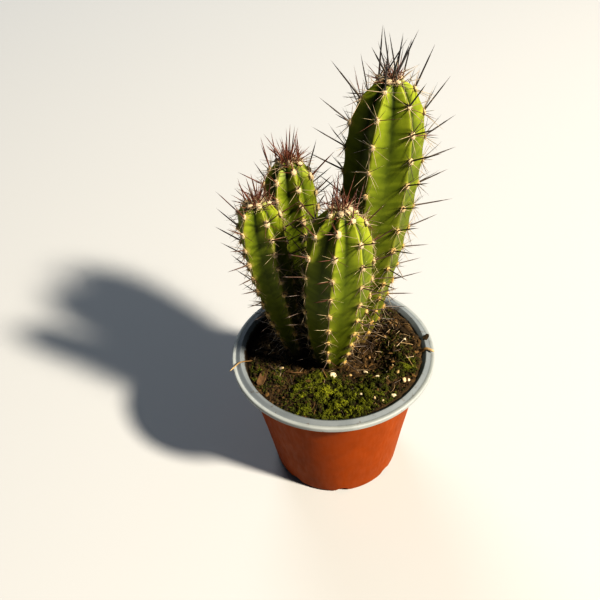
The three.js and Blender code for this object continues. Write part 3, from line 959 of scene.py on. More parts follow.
def make_felt(stem):
    """The felt pads of one stem, and the buds near its crown, with wool standing out of them."""
    random = np.random.default_rng(stem.seed)
    areoles = {key: np.concatenate([stem.areoles[key], stem.buds[key]]) for key in SEAT_KEYS}
    count = len(areoles["t"])
    seats = areoles["point"] + areoles["out"] * (SWELLING - PAD_SUNK)
    axes = np.stack([areoles["round"], areoles["up"], areoles["out"]], axis=-1)
    size = scattered(random, *PAD_SPREAD, (count, 1)) * np.array(PAD_SIZE)
    frames = np.concatenate([axes * size[:, None, :], seats[:, :, None]], axis=-1)
    ball, ball_faces = ball_shape(2)
    points, faces = copies((ball, ball_faces), frames)
    middles = np.repeat(seats, len(ball), axis=0)
    bulge = 1 + (lumps(points, PAD_LUMPS, stem.seed) - 0.5) * PAD_LUMPS
    points = middles + (points - middles) * bulge[:, None]
    age = np.repeat(1 - areoles["t"], len(ball))

    owner = np.repeat(np.arange(count), WOOL_HAIRS)
    spread = random.normal(size=(len(owner), 3))
    spread[:, 2] = np.abs(spread[:, 2]) * 0.8 + 0.25
    local = unit(spread)
    on_pad = np.einsum("nij,nj->ni", axes[owner] * size[owner][:, None, :], local)
    roots = seats[owner] + on_pad * WOOL_SEAT
    ways = unit(np.einsum("nij,nj->ni", axes[owner], local))
    lengths = scattered(random, *WOOL_LENGTH, len(owner))
    radii = np.full(len(owner), WOOL_RADIUS)
    bends = scattered(random, *WOOL_BEND, len(owner))
    hair, hair_faces, hair_owner, _ = needles(roots, ways, lengths, radii, bends, 3, HAIR_FORM)
    hair_age = (1 - areoles["t"])[owner][hair_owner]
    points, faces = joined([(points, faces), (hair, hair_faces)])
    marks = {"age": np.concatenate([age, hair_age])}
    make_piece(stem.name + "_felt", points, faces, [areole_felt], "stem", marks)


for stem in stems:
    make_felt(stem)

# %% [markdown]
# ## Spines
# Every areole has one long straight spine that rises a little, dark when it is old and reddish when it
# is young, and a star of shorter pale ones that lie closer to the skin. The long ones repeat the
# measured solid's spines, with the same random numbers, so they stand where that solid has them. A
# spine that would run into another stem, the mix or the rim is bent up the rib or made shorter, and a
# spine's thickness grows with the square root of its length.

# %% Finish of the spines


def spine_finish():
    """Horn whose colour goes from root to point, and by its tone from pale over red-brown to black."""
    material, tree = finish("spine_horn", IOR=1.5)
    along, tone = mark(tree, "along"), mark(tree, "tone")
    root = ramp(tree, tone, [
        (0.0, (0.46, 0.38, 0.26)), (0.3, (0.22, 0.08, 0.04)), (0.5, (0.13, 0.05, 0.033)),
        (0.7, (0.15, 0.11, 0.085)), (1.0, (0.06, 0.05, 0.045)),
    ])
    point = ramp(tree, tone, [
        (0.0, (0.36, 0.29, 0.2)), (0.3, (0.12, 0.036, 0.02)), (0.5, (0.06, 0.02, 0.014)),
        (0.7, (0.07, 0.052, 0.045)), (1.0, (0.018, 0.016, 0.017)),
    ])
    colour = mixed(tree, ramp(tree, along, grey(0.03, 0.75)), root, point)
    grain = noise(tree, 0.5, detail=3)
    colour = times(tree, colour, ramp(tree, grain, levels((0.3, 0.8), (0.7, 1.15))))
    shine = ramp(tree, grain, levels((0.3, 0.3), (0.7, 0.45)))
    return dressed(material, Base_Color=colour, Roughness=shine, Normal=bump(tree, grain, 0.03, 0.4))


spine_horn = spine_finish()

# %% Keep spines clear of their neighbours
CLEARANCE = 1.1
MOSS_HEIGHT = 2.2
SHORTER = (1, 0.75, 0.5)
BENDS = (0, 25, 50, 75)
AXIS_STEPS = 26
TESTED_ALONG = np.array([0.2, 0.4, 0.6, 0.8, 1])


def turned_about(way, axis, angle):
    """A direction turned about an axis of length 1, by radians."""
    way, axis = np.asarray(way), np.asarray(axis)
    return (
        way * math.cos(angle)
        + np.cross(axis, way) * math.sin(angle)
        + axis * np.dot(axis, way) * (1 - math.cos(angle))
    )


def is_clear(owner, start, tip, clearance=CLEARANCE):
    """Whether a spine stays clear of the mix, the rim and the other stems."""
    points = start + (tip - start) * TESTED_ALONG[:, None]
    if (points[:, 2] < SOIL_LEVEL + MOSS_HEIGHT + clearance).any():
        return False
    beyond = np.hypot(points[:, 0], points[:, 1]) > wall_radius(SOIL_LEVEL) - WALL - clearance
    if (beyond & (points[:, 2] < POT_HEIGHT + clearance)).any():
        return False
    t = np.linspace(0, 1, AXIS_STEPS)
    for other in stems:
        if other is owner:
            continue
        apart = np.linalg.norm(other.frame_at(t)[0][None] - points[:, None], axis=-1)
        if (apart - other.crest(t) < clearance).any():
            return False
    return True


def clear_spine(stem, point, towards, up, length):
    """The first clear way and length: straight, then bent up the rib, then shorter."""
    for share in SHORTER:
        for bend in BENDS:
            axis = unit(np.cross(towards, up))
            way = turned_about(towards, axis, math.radians(bend))
            if is_clear(stem, point, point + way * length * share):
                return way, length * share
    return None


print("spines keep", CLEARANCE, "mm clear, if need be bent by", BENDS, "degrees")

# %% The long spines
SIDE_SPINE_SHARE = 0.25
SIDE_SPINE_LENGTH = 0.55
SIDE_SPINE_SWING = (50, 70)
SIDE_SPINE_DROOP = 10
SIDE_SPINE_TONE = 0.45
LENGTH_SPREAD = (0.85, 1.15)
SPINE_RISE = (15, 35)
SPINE_SCATTER = 13
CROWN_SPREAD = 38
CROWN_LEAN = (0.35, 1)
CROWN_LENGTH = 0.9
CROWN_RING = 1.8
CROWN_SUNK = 0.4


def long_spines(stem):
    """The long spines of a stem as (root, way, length, tone) rows, drawn as the measured solid's are."""
    found = []

    def between(low, high):
        return low + (high - low) * stem.random()

    def scatter():
        return math.radians(between(-SPINE_SCATTER, SPINE_SCATTER))

    def keep(point, towards, up, length, tone):
        clear = clear_spine(stem, point, towards, up, length)
        if clear:
            found.append((point, clear[0], clear[1], tone))

    areoles = stem.areoles
    for i, t in enumerate(areoles["t"]):
        out, up, round_way, point = (areoles[key][i] for key in ("out", "up", "round", "point"))
        rise = math.radians(SPINE_RISE[0] + (SPINE_RISE[1] - SPINE_RISE[0]) * t) + scatter()
        yaw = scatter()
        towards = turned_about(turned_about(out, round_way, -rise), up, yaw)
        length = (stem.spine[1] + (stem.spine[0] - stem.spine[1]) * t) * between(*LENGTH_SPREAD)
        keep(point, towards, up, length, stem.tone_at(t))
        side = -1 if stem.random() < 0.5 else 1
        swing = math.radians(side * between(*SIDE_SPINE_SWING))
        if stem.random() > SIDE_SPINE_SHARE:
            continue
        low = turned_about(turned_about(out, up, swing), round_way, math.radians(SIDE_SPINE_DROOP))
        keep(point, low, up, length * SIDE_SPINE_LENGTH, SIDE_SPINE_TONE)
    centre, up, across, away = stem.frame_at(1)
    for i in range(stem.crown_spines):
        bearing = math.radians(360 * i / stem.crown_spines) + scatter()
        lean = math.radians(CROWN_SPREAD * between(*CROWN_LEAN))
        aside = across * math.sin(bearing) - away * math.cos(bearing)
        towards = up * math.cos(lean) + aside * math.sin(lean)
        length = stem.spine[0] * CROWN_LENGTH * between(*LENGTH_SPREAD)
        keep(centre + aside * CROWN_RING - up * CROWN_SUNK, towards, up, length, stem.tone_at(1))
    return found


print("long spines, shortest and longest", {stem.name: stem.spine[::-1] for stem in stems})

# %% The short spines of each star
STAR_SPINES = 8
STAR_TILT = (10, 42)
STAR_LENGTH = (0.32, 0.66)
STAR_SCATTER = 14
STAR_SEAT = 0.5
STAR_CLEARANCE = 0.6
PALE_TONE = (0.0, 0.1)
DARK_STAR_SHARE = 0.28
SECOND_SPINE_SHARE = 0.6
SECOND_SPINE_SWING = (40, 140)
SECOND_SPINE_WAY = (0.75, 0.66)
SECOND_SPINE_LENGTH = (0.5, 0.75)
SECOND_SPINE_TONE = (0.9, 1.1)
YOUNG_FROM = 0.9
YOUNG_TONE = 0.42


def star_spines(stem, random):
    """The short pale spines round each areole, and a second dark one beside some long ones."""
    found = []
    areoles = stem.areoles
    for i, t in enumerate(areoles["t"]):
        out, up, round_way, point = (areoles[key][i] for key in ("out", "up", "round", "point"))
        whole = stem.spine[1] + (stem.spine[0] - stem.spine[1]) * t
        darkest = stem.tone_at(t) if t < YOUNG_FROM else min(stem.tone_at(t), YOUNG_TONE)
        first = random.uniform(0, 360 / STAR_SPINES)
        for k in range(STAR_SPINES):
            off = random.uniform(-STAR_SCATTER, STAR_SCATTER)
            swing = math.radians(first + 360 * k / STAR_SPINES + off)
            tilt = math.radians(random.uniform(*STAR_TILT))
            flat = round_way * math.cos(swing) + up * math.sin(swing)
            way = flat * math.cos(tilt) + out * math.sin(tilt)
            length = whole * random.uniform(*STAR_LENGTH)
            dark = random.random() < DARK_STAR_SHARE
            tone = darkest if dark else random.uniform(*PALE_TONE)
            if is_clear(stem, point, point + way * length, STAR_CLEARANCE):
                found.append((point + flat * STAR_SEAT, way, length, tone))
        if random.random() < SECOND_SPINE_SHARE:
            swing = math.radians(random.uniform(*SECOND_SPINE_SWING))
            flat = round_way * math.cos(swing) + up * math.sin(swing)
            way = unit(flat * SECOND_SPINE_WAY[0] + out * SECOND_SPINE_WAY[1])
            length = whole * random.uniform(*SECOND_SPINE_LENGTH)
            tone = darkest * random.uniform(*SECOND_SPINE_TONE)
            if is_clear(stem, point, point + way * length, STAR_CLEARANCE):
                found.append((point, way, length, tone))
    return found


print("star spines round an areole", STAR_SPINES)

# %% The young tuft of a crown
# How many young spines stand on each crown, and how short and long they are
TUFTS = {
    "stem_tall": (70, (3, 7.5)),
    "stem_front": (60, (3, 8)),
    "stem_left": (60, (3.5, 10)),
    "stem_back": (80, (4.5, 13)),
}
TUFT_RADIUS = 6.5
TUFT_CROWDING = 0.7
TUFT_LEAN = (8, 60)
TUFT_SCATTER = 14
TUFT_TONE = (0.26, 0.5)
TUFT_WOBBLE = 0.12
TUFT_SEAT = 0.9
DOME_STEPS = 60


def on_crown(stem, random, count):
    """Points on the dome round a crown, denser towards its middle, with the way out of the dome."""
    reach = TUFT_RADIUS * random.random(count) ** TUFT_CROWDING
    bearing = random.uniform(0, 2 * math.pi, count)
    centre, up, across, away = stem.frame_at(1)
    aside = across * np.sin(bearing)[:, None] - away * np.cos(bearing)[:, None]
    heights = np.linspace(stem.shoulder, 1, DOME_STEPS)
    radii = stem.crest(heights)
    t = np.interp(-reach, -radii, heights)
    drop = np.linalg.norm(stem.frame_at(t)[0] - centre, axis=-1)
    roots = centre + aside * reach[:, None] * TUFT_SEAT - up * drop[:, None]
    return roots, aside, np.broadcast_to(up, aside.shape), reach / TUFT_RADIUS


def tuft_spines(stem, random):
    """Short reddish young spines that crowd round the growing point."""
    count, length = TUFTS[stem.name]
    roots, aside, up, share = on_crown(stem, random, count)
    least, most = TUFT_LEAN
    lean = np.radians(least + (most - least) * share + random.uniform(-TUFT_SCATTER, TUFT_SCATTER, count))
    ways = up * np.cos(lean)[:, None] + aside * np.sin(lean)[:, None]
    ways = unit(ways + random.normal(0, TUFT_WOBBLE, (count, 3)))
    lengths = scattered(random, *length, count)
    tones = scattered(random, *TUFT_TONE, count)
    return list(zip(roots, ways, lengths, tones))


print("young spines on a crown", {name: count for name, (count, _) in TUFTS.items()})

# %% Make the spines
# For each kind: the radius of a spine 1 mm long, its sides, and its bend as a share of its length
LONG_KIND = (0.088, 6, 0.03)
STAR_KIND = (0.047, 5, 0.1)
TUFT_KIND = (0.065, 5, 0.08)
THICKNESS_SPREAD = (0.85, 1.15)


def make_spines(stem):
    """All spines of a stem as one piece."""
    random = np.random.default_rng(stem.seed + 100)
    groups = (
        (long_spines(stem), *LONG_KIND),
        (star_spines(stem, random), *STAR_KIND),
        (tuft_spines(stem, random), *TUFT_KIND),
    )
    parts, along, tones = [], [], []
    for rows, radius, sides, bend in groups:
        roots, ways, lengths, tone = (np.array(column) for column in zip(*rows))
        radii = radius * np.sqrt(lengths) * scattered(random, *THICKNESS_SPREAD, len(rows))
        bends = random.uniform(-bend, bend, len(rows))
        points, faces, owner, places = needles(roots, ways, lengths, radii, bends, sides)
        parts.append((points, faces))
        along.append(places)
        tones.append(tone[owner])
    marks = {"along": np.concatenate(along), "tone": np.concatenate(tones)}
    spines = make_piece(stem.name + "_spines", *joined(parts), [spine_horn], "stem", marks)
    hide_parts(stem.name)
    print(stem.name, "long, star and tuft spines", [len(rows) for rows, *_ in groups])


for stem in stems:
    make_spines(stem)

# %% Wool of the crowns
CROWN_WOOL = 420
CROWN_WOOL_LENGTH = (0.9, 2.2)
CROWN_WOOL_RADIUS = 0.13
CROWN_WOOL_BEND = 0.5
CROWN_WOOL_WOBBLE = 0.5
CROWN_WOOL_AGE = 0.02


def make_crown_wool(stem):
    """Pale wool between the young spines of a crown."""
    random = np.random.default_rng(stem.seed + 200)
    roots, aside, up, share = on_crown(stem, random, CROWN_WOOL)
    ways = unit(up + aside * share[:, None] + random.normal(0, CROWN_WOOL_WOBBLE, (CROWN_WOOL, 3)))
    lengths = scattered(random, *CROWN_WOOL_LENGTH, CROWN_WOOL)
    bends = random.uniform(-CROWN_WOOL_BEND, CROWN_WOOL_BEND, CROWN_WOOL)
    radii = np.full(CROWN_WOOL, CROWN_WOOL_RADIUS)
    points, faces, _, _ = needles(roots, ways, lengths, radii, bends, 3, HAIR_FORM)
    marks = {"age": np.full(len(points), CROWN_WOOL_AGE)}
    make_piece(stem.name + "_crown_wool", points, faces, [areole_felt], "stem", marks)


for stem in stems:
    make_crown_wool(stem)

# %% [markdown]
# ## The potting mix
# The mix is peat with bark and pale grains, and moss has grown on it. One surface follows the measured
# plug, with a fine crumb of its own. On the right the photograph shows hardly any shadow inside the rim,
# so the mix is heaped up there: a bank of loose mix lies on the plug along that side. A displacement
# modifier could roughen it all, but a formula gives the same height to everything that lies on the mix.

# %% Surface of the mix
MOUND = 1.2
MOSS_AT = (4, -30)
MOSS_REACH = (34, 15)
LUMP_HEIGHT = 0.5
LUMP_WAVE = (17, 20)
LUMP_SHIFT = (1.3, 0.6)
BANK_HEIGHT = 7
BANK_STARTS = (-15, 35)
BANK_ENDS = (140, 176)
BANK_RISES = (24, 42)
SOIL_RADIUS = wall_radius(SOIL_LEVEL) - WALL - WALL_GAP
THROAT = POT_HEIGHT - THROAT_DROP
BRIM_HEIGHTS = (SOIL_LEVEL, THROAT, POT_HEIGHT)
BRIM_RADII = (SOIL_RADIUS, wall_radius(THROAT) - WALL - WALL_GAP, lip_inside - WALL_GAP)


def bed_height(x, y):
    """Height of the measured plug, in millimetres above the pot's underside."""
    centre = MOUND * np.maximum(0, 1 - np.hypot(x, y) / WALL_TOP_RADIUS)
    away = np.hypot((x - MOSS_AT[0]) / MOSS_REACH[0], (y - MOSS_AT[1]) / MOSS_REACH[1])
    moss = MOSS_HEIGHT * np.maximum(0, 1 - away**2)
    east = np.sin(2 * math.pi * x / LUMP_WAVE[0] + LUMP_SHIFT[0])
    north = np.cos(2 * math.pi * y / LUMP_WAVE[1] - LUMP_SHIFT[1])
    return SOIL_LEVEL + centre + moss + LUMP_HEIGHT * east * north - MOUND


def bank_height(x, y):
    """How high the loose mix is heaped on the plug."""
    bearing = np.degrees(np.arctan2(x, -y))
    along = smoothstep(bearing, *BANK_STARTS) * (1 - smoothstep(bearing, *BANK_ENDS))
    return BANK_HEIGHT * along * smoothstep(np.hypot(x, y), *BANK_RISES)


def soil_height(x, y):
    """Height of the mix with its bank."""
    return bed_height(x, y) + bank_height(x, y)


def brim(height):
    """How far out the mix reaches at a height: the pot widens towards its lip."""
    return np.interp(height, BRIM_HEIGHTS, BRIM_RADII)


# Each patch of moss: its place, its reach right and back, and how dense it is in the middle
MOSS_PATCHES = [
    (-5, -28, 12, 13, 1.0), (-8, -17, 9, 6, 0.8), (1.9, -42.7, 16, 8, 0.95), (-19, -27, 10, 13, 0.8),
    (-22, -39, 11, 8, 0.7), (13.5, -36.7, 11, 13, 0.75), (26.4, -39.9, 10, 9, 0.55),
    (41.6, -15.7, 6, 8, 0.75), (37.7, -1.6, 10, 12, 0.4), (-44, -10, 7, 11, 0.5), (-33, -12, 9, 9, 0.4),
    (-10, 46, 16, 4, 0.4), (25.8, -22.4, 13, 9, 0.4), (27.7, 28.4, 12, 8, 0.35),
]


def moss_cover(x, y):
    """How densely moss covers a point of the mix, from 0 to 1."""
    cover = np.zeros(np.shape(x))
    for at_x, at_y, reach_x, reach_y, density in MOSS_PATCHES:
        away = ((x - at_x) / reach_x) ** 2 + ((y - at_y) / reach_y) ** 2
        cover = np.maximum(cover, density * np.exp(-(away**1.5)))
    return cover


# The fine relief of the mix: how wide its lumps are, their seed, and how high they are
CRUMBLE = ((4.1, 1, 1.3), (1.5, 2, 0.9))


def crumbly(x, y):
    """Height of the fine relief of the mix."""
    flat = np.stack([x, y], axis=-1)
    return sum((lumps(flat, size, seed) - 0.5) * height for size, seed, height in CRUMBLE)


def mix_tone(points):
    """The tone of the mix: patches of peat and bark, darker under the moss."""
    return 0.2 + 0.5 * lumps(points[:, :2], 2.2, 5) - 0.3 * moss_cover(points[:, 0], points[:, 1])


def soil_finish():
    """Peat whose tone goes from nearly black to the brown of bark."""
    material, tree = finish("peat_mix", Roughness=0.95, Specular_IOR_Level=0.25)
    tone = mark(tree, "tone")
    grain = noise(tree, 0.9, detail=8)
    colour = ramp(tree, tone, [
        (0.0, (0.014, 0.009, 0.004)), (0.45, (0.034, 0.021, 0.008)), (0.75, (0.085, 0.05, 0.018)),
        (0.92, (0.16, 0.095, 0.036)), (1.0, (0.25, 0.16, 0.07)),
    ])
    colour = times(tree, colour, ramp(tree, grain, levels((0.3, 0.55), (0.7, 1.5))))
    return dressed(material, Base_Color=colour, Normal=bump(tree, grain, 0.5, 0.9))


peat_mix = soil_finish()
SOIL_RINGS = 120
SOIL_SIDES = 256
SOIL_LIFT = 0.3
SOIL_SHOULDER = 2
BANK_ROWS = 170
BANK_COLUMNS = 60
BANK_SUNK = 0.35
BANK_KEEL = 2.5


def make_soil():
    """The plug of mix, which fills the pot from just above its floor."""
    under = WALL + SOIL_LIFT
    shoulder = SOIL_LEVEL - SOIL_SHOULDER
    outline = [
        (0, under),
        (FOOT_RADIUS - FOOT_CORNER - SOIL_LIFT, under),
        (wall_radius(FOOT_CORNER) - WALL - WALL_GAP, FOOT_CORNER + SOIL_LIFT),
        (wall_radius(shoulder) - WALL - WALL_GAP, shoulder),
    ]
    outline += [(radius, SOIL_LEVEL) for radius in np.linspace(SOIL_RADIUS, 0, SOIL_RINGS)]
    points, faces = turned(outline, SOIL_SIDES)
    top = points[:, 2] >= SOIL_LEVEL
    x, y = points[top, 0], points[top, 1]
    edge = smoothstep(SOIL_RADIUS - np.hypot(x, y), 0, 2)
    points[top, 2] = bed_height(x, y) + crumbly(x, y) * edge
    marks = {"tone": mix_tone(points)}
    soil = make_piece("mix_surface", points, faces, [peat_mix], "soil", marks)
    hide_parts("soil")


def closed_sheet(top, under):
    """Points and faces of a closed sheet between two grids of points."""
    rows, columns = top.shape[:2]
    count = rows * columns
    over = grid_faces(rows, columns, 0, False)
    place = np.arange(count).reshape(rows, columns)
    border = np.concatenate([place[0], place[1:, -1], place[-1, -2::-1], place[-2:0:-1, 0]])
    beyond = np.roll(border, -1)
    edge = np.stack([beyond, border, border + count, beyond + count], axis=-1)
    faces = np.concatenate([over, over[:, ::-1] + count, edge])
    return np.concatenate([top.reshape(-1, 3), under.reshape(-1, 3)]), faces.tolist()


def make_bank():
    """The loose mix that is heaped along the right side, its thin edge just under the plug's surface."""
    bearings = np.radians(np.linspace(BANK_STARTS[0], BANK_ENDS[1], BANK_ROWS))
    radii = np.linspace(BANK_RISES[0], SOIL_RADIUS, BANK_COLUMNS)
    bearing, radius = np.meshgrid(bearings, radii, indexing="ij")
    x, y = radius * np.sin(bearing), -radius * np.cos(bearing)
    heap = bank_height(x, y)
    sunk = BANK_SUNK * np.exp(-3 * heap)
    top = np.stack([x, y, bed_height(x, y) + crumbly(x, y) + heap - sunk], axis=-1)
    under = np.stack([x, y, bed_height(x, y) - BANK_KEEL], axis=-1)
    top[:, -1, :2] *= brim(top[:, -1, 2])[:, None] / SOIL_RADIUS
    points, faces = closed_sheet(top, under)
    make_piece("mix_bank", points, faces, [peat_mix], "soil", {"tone": mix_tone(points)})


make_soil()
make_bank()

# %% Crumbs and grains on the mix
# How many crumbs of a kind, how finely each is shaped, and their smallest and largest size
CRUMBS = ((4200, 1, 0.28, 0.95), (460, 2, 0.9, 1.9))
CRUMB_LIFT = 0.15
# Where the crumbs are warmer with bark: the middle of that patch, and its reach right and back
WARM_AT = (32, 2)
WARM_REACH = (17, 16)
GRAIN_RADIUS = 1.5
GRAIN_SHOWING = 0.35
# Each grain: its place and its size. The first list is in the measured mix too
GRAINS = [
    (-0.9, -15.5, 1.25), (24.3, -21.7, 1.1), (9, -15, 0.8), (17.8, -13.7, 0.85), (29.8, -19.4, 0.7),
    (35.6, -21.5, 0.9), (38.3, -28.4, 1.1), (40.7, -28.3, 0.8), (30.7, -39, 0.9), (13.1, -35.5, 0.9),
    (24.3, -41.7, 0.9), (-31, -6, 0.9), (-38, 14, 0.8), (-8, 42, 1.1), (29.7, 30, 1), (43.6, 4.2, 0.9),
]
SMALL_GRAINS = [
    (10.2, -32.9, 0.55), (19.9, -40.2, 0.6), (-24.5, 2, 0.8), (27.6, -26.5, 0.4), (33.7, -15.1, 0.45),
]


def free_spot(x, y, room):
    """Whether a point of the mix is clear of the stems and the wall."""
    clear = np.hypot(x, y) < brim(soil_height(x, y)) - room
    for stem in stems:
        centre = stem.frame_at(0)[0]
        clear &= np.hypot(x - centre[0], y - centre[1]) > stem.crest(0.02) + room
    return clear


def spots(random, count, room):
    """Random free places on the mix."""
    x, y = random.uniform(-BRIM_RADII[-1], BRIM_RADII[-1], (2, count * 2))
    free = free_spot(x, y, room)
    return x[free][:count], y[free][:count]


def tumbled(random, sizes, x, y, lift):
    """Frames of lumps turned at random, that lie on the mix."""
    count = len(x)
    axes = np.linalg.qr(random.normal(size=(count, 3, 3)))[0]
    shape = sizes[:, None] * random.uniform([0.65, 0.65, 0.5], [1.25, 1.0, 0.8], (count, 3))
    place = np.stack([x, y, soil_height(x, y) + crumbly(x, y) + sizes * lift], axis=-1)
    return np.concatenate([axes * shape[:, None, :], place[:, :, None]], axis=-1)


def roughened(points, centres, size, depth, seed):
    """Points pushed in and out from their centres, so that no lump is a plain ball."""
    return centres + (points - centres) * (1 + (lumps(points, size, seed) - 0.5) * depth)[:, None]


def make_crumbs():
    """Loose crumbs: thousands of fine ones, and some hundreds of coarse ones."""
    random = np.random.default_rng(5)
    parts, tones = [], []
    for amount, detail, low, high in CRUMBS:
        x, y = spots(random, amount, high)
        bare = random.random(len(x)) > moss_cover(x, y)
        x, y = x[bare], y[bare]
        sizes = low + (high - low) * random.random(len(x)) ** 2
        frames = tumbled(random, sizes, x, y, CRUMB_LIFT)
        ball = ball_shape(detail)
        points, faces = copies(ball, frames)
        centres = np.repeat(frames[:, :, 3], len(ball[0]), axis=0)
        parts.append((roughened(points, centres, low * 1.4, 0.9, 7), faces))
        off_x, off_y = (x - WARM_AT[0]) / WARM_REACH[0], (y - WARM_AT[1]) / WARM_REACH[1]
        warm = np.exp(-(off_x**2) - off_y**2)
        tone = np.clip(random.random(len(x)) ** 1.6 * 0.8 + 0.3 * warm, 0, 1)
        tones.append(np.repeat(tone, len(ball[0])))
    marks = {"tone": np.concatenate(tones)}
    make_piece("mix_crumbs", *joined(parts), [peat_mix], "soil", marks, smooth=False)


def grain_finish():
    """Porous pale stone, and by its tone the brown of a dusty grain."""
    material, tree = finish("pale_grain", Roughness=0.8)
    pores = noise(tree, 0.6, detail=6)
    pale = ramp(tree, pores, [
        (0.3, (0.34, 0.25, 0.14)), (0.5, (0.56, 0.47, 0.33)), (0.8, (0.66, 0.6, 0.48)),
    ])
    colour = mixed(tree, mark(tree, "tone"), pale, (0.3, 0.2, 0.07))
    return dressed(material, Base_Color=colour, Normal=bump(tree, pores, 0.25, 0.8))


def make_grains():
    """The pale grains, placed one by one, most of them where the photograph shows them."""
    random = np.random.default_rng(9)
    x, y, size = np.array(GRAINS + SMALL_GRAINS).T
    frames = tumbled(random, size * GRAIN_RADIUS, x, y, GRAIN_SHOWING)
    ball = ball_shape(3)
    points, faces = copies(ball, frames)
    centres = np.repeat(frames[:, :, 3], len(ball[0]), axis=0)
    points = roughened(points, centres, 0.9, 0.6, 3)
    tone = np.repeat(random.choice([0.0, 0.5, 0.85], len(x)), len(ball[0]))
    tone[: 2 * len(ball[0])] = 0
    make_piece("mix_grains", points, faces, [grain_finish()], "soil", {"tone": tone})


make_crumbs()
make_grains()

# %% [markdown]
# ## Moss
# The moss at the front is a soft cushion of tiny upright shoots. Seen from a step away it is a bright
# yellow-green pile with dark gaps. Each shoot here is a rosette of a few pointed leaves, and the shoots
# stand close in the middle of the cushion and thin out towards its edge.

# %% Moss shoots
MOSS_SHOOTS = 4600
MOSS_LEAVES = 6
MOSS_CLUMP = 2.3
MOSS_LIFT = 1.7
LEAF_TURN = 2.4
LEAF_RISE = (0.1, 1.2)
LEAF_LENGTH = (0.55, 1.15)
LEAF_RADIUS = 0.2
STALK_RADIUS = 0.12


def moss_finish():
    """Leaves that are dark at their root and yellow-green at their tip, in brighter and duller clouds."""
    material, tree = finish("moss_leaf", Roughness=0.65, Specular_IOR_Level=0.3)
    tone, along = mark(tree, "tone"), mark(tree, "along")
    tip = ramp(tree, tone, [
        (0.0, (0.035, 0.038, 0.005)), (0.4, (0.105, 0.118, 0.008)),
        (0.75, (0.23, 0.25, 0.013)), (1.0, (0.4, 0.41, 0.03)),
    ])
    colour = mixed(tree, ramp(tree, along, grey(0.0, 0.8)), (0.012, 0.014, 0.003), tip)
    cloud = noise(tree, 2.5, detail=4)
    colour = times(tree, colour, ramp(tree, cloud, levels((0.3, 0.6), (0.7, 1.3))))
    return dressed(material, Base_Color=colour, Normal=bump(tree, noise(tree, 0.3), 0.05, 0.5))


def make_moss():
    """Rosettes of leaves, each on its stalk, in clumps with dark gaps between them."""
    random = np.random.default_rng(21)
    x, y = spots(random, MOSS_SHOOTS * 5, 0.8)
    clump = smoothstep(lumps(np.stack([x, y], axis=-1), MOSS_CLUMP, 4), 0.25, 0.75)
    cover = moss_cover(x, y)
    kept = random.random(len(x)) < cover * (0.3 + 0.9 * clump)
    x, y, clump, cover = (values[kept][:MOSS_SHOOTS] for values in (x, y, clump, cover))
    count = len(x)
    base = np.stack([x, y, soil_height(x, y) + crumbly(x, y)], axis=-1)
    stalk = 0.2 + clump * cover * MOSS_LIFT + random.uniform(0, 0.5, count)
    lean = random.normal(0, 0.25, (count, 3)) * [1, 1, 0]
    stems_up = unit(lean + [0, 0, 1])
    owner = np.repeat(np.arange(count), MOSS_LEAVES)
    bearing = np.tile(np.arange(MOSS_LEAVES) * LEAF_TURN, count)
    bearing += random.uniform(0, 6.3, count)[owner]
    rise = scattered(random, *LEAF_RISE, len(owner))
    level = np.stack([np.cos(bearing), np.sin(bearing)], axis=-1) * np.cos(rise)[:, None]
    ways = np.concatenate([level, np.sin(rise)[:, None]], axis=-1)
    up_stalk = scattered(random, 0.35, 1.0, len(owner)) * stalk[owner]
    roots = np.concatenate([base[owner] + stems_up[owner] * up_stalk[:, None], base - [0, 0, 0.3]])
    ways = np.concatenate([ways, stems_up])
    lengths = np.concatenate([scattered(random, *LEAF_LENGTH, len(owner)), stalk + 0.7])
    radii = np.concatenate([np.full(len(owner), LEAF_RADIUS), np.full(count, STALK_RADIUS)])
    bends = random.uniform(-0.3, 0.3, len(roots))
    points, faces, leaf, places = needles(roots, ways, lengths, radii, bends, 3, HAIR_FORM)
    tone = np.clip(0.1 + 0.8 * clump * cover**1.5 + random.uniform(-0.15, 0.3, count), 0, 1)
    marks = {"tone": np.concatenate([tone[owner], tone * 0.5])[leaf], "along": places}
    make_piece("moss_cushion", points, faces, [moss_finish()], "soil", marks)


make_moss()

# %% [markdown]
# ## Litter
# Dry fibres, dropped spines and splinters of bark lie on the mix, thickest beside the foot of the tall
# stem and left of the front stem. A fibre is a short strand that follows the height of the mix. A few
# larger things can be told apart in the photograph, and they are placed one by one: a pale twig over the
# right of the lip, a thin one over its left, two straws, two roots, a chip of bark and a scrap of leaf.

# %% Fibres and dropped spines
FIBRES = 360
FIBRE_STEPS = 8
FIBRE_LENGTH = (2.5, 9)
FIBRE_TURN = 0.9
FIBRE_ARCH = 1.1
FIBRE_LIFT = 0.35
FIBRE_RADIUS = (0.07, 0.2)
DROPPED_SPINES = 75
DROPPED_LENGTH = (4, 10)
DROPPED_RISE = 0.35
DROPPED_RADIUS = 0.2
DROPPED_TONES = (0.05, 0.7, 0.9)
# Where litter lies thickest: right of the tall stem's foot, and left of the front stem's, with its reach
LITTER_HEAPS = ((33, 8, 9), (-25, -3, 11))


def fibre_finish():
    """Dry plant fibre, from dark root to pale straw."""
    material, tree = finish("dry_fibre", Roughness=0.8, Specular_IOR_Level=0.3)
    grain = noise(tree, 0.8, detail=5)
    colour = ramp(tree, mark(tree, "tone"), [
        (0.0, (0.03, 0.018, 0.009)), (0.4, (0.095, 0.052, 0.021)),
        (0.75, (0.2, 0.12, 0.046)), (1.0, (0.46, 0.34, 0.19)),
    ])
    colour = times(tree, colour, ramp(tree, grain, levels((0.3, 0.7), (0.7, 1.2))))
    return dressed(material, Base_Color=colour, Normal=bump(tree, grain, 0.15, 0.6))


dry_fibre = fibre_finish()


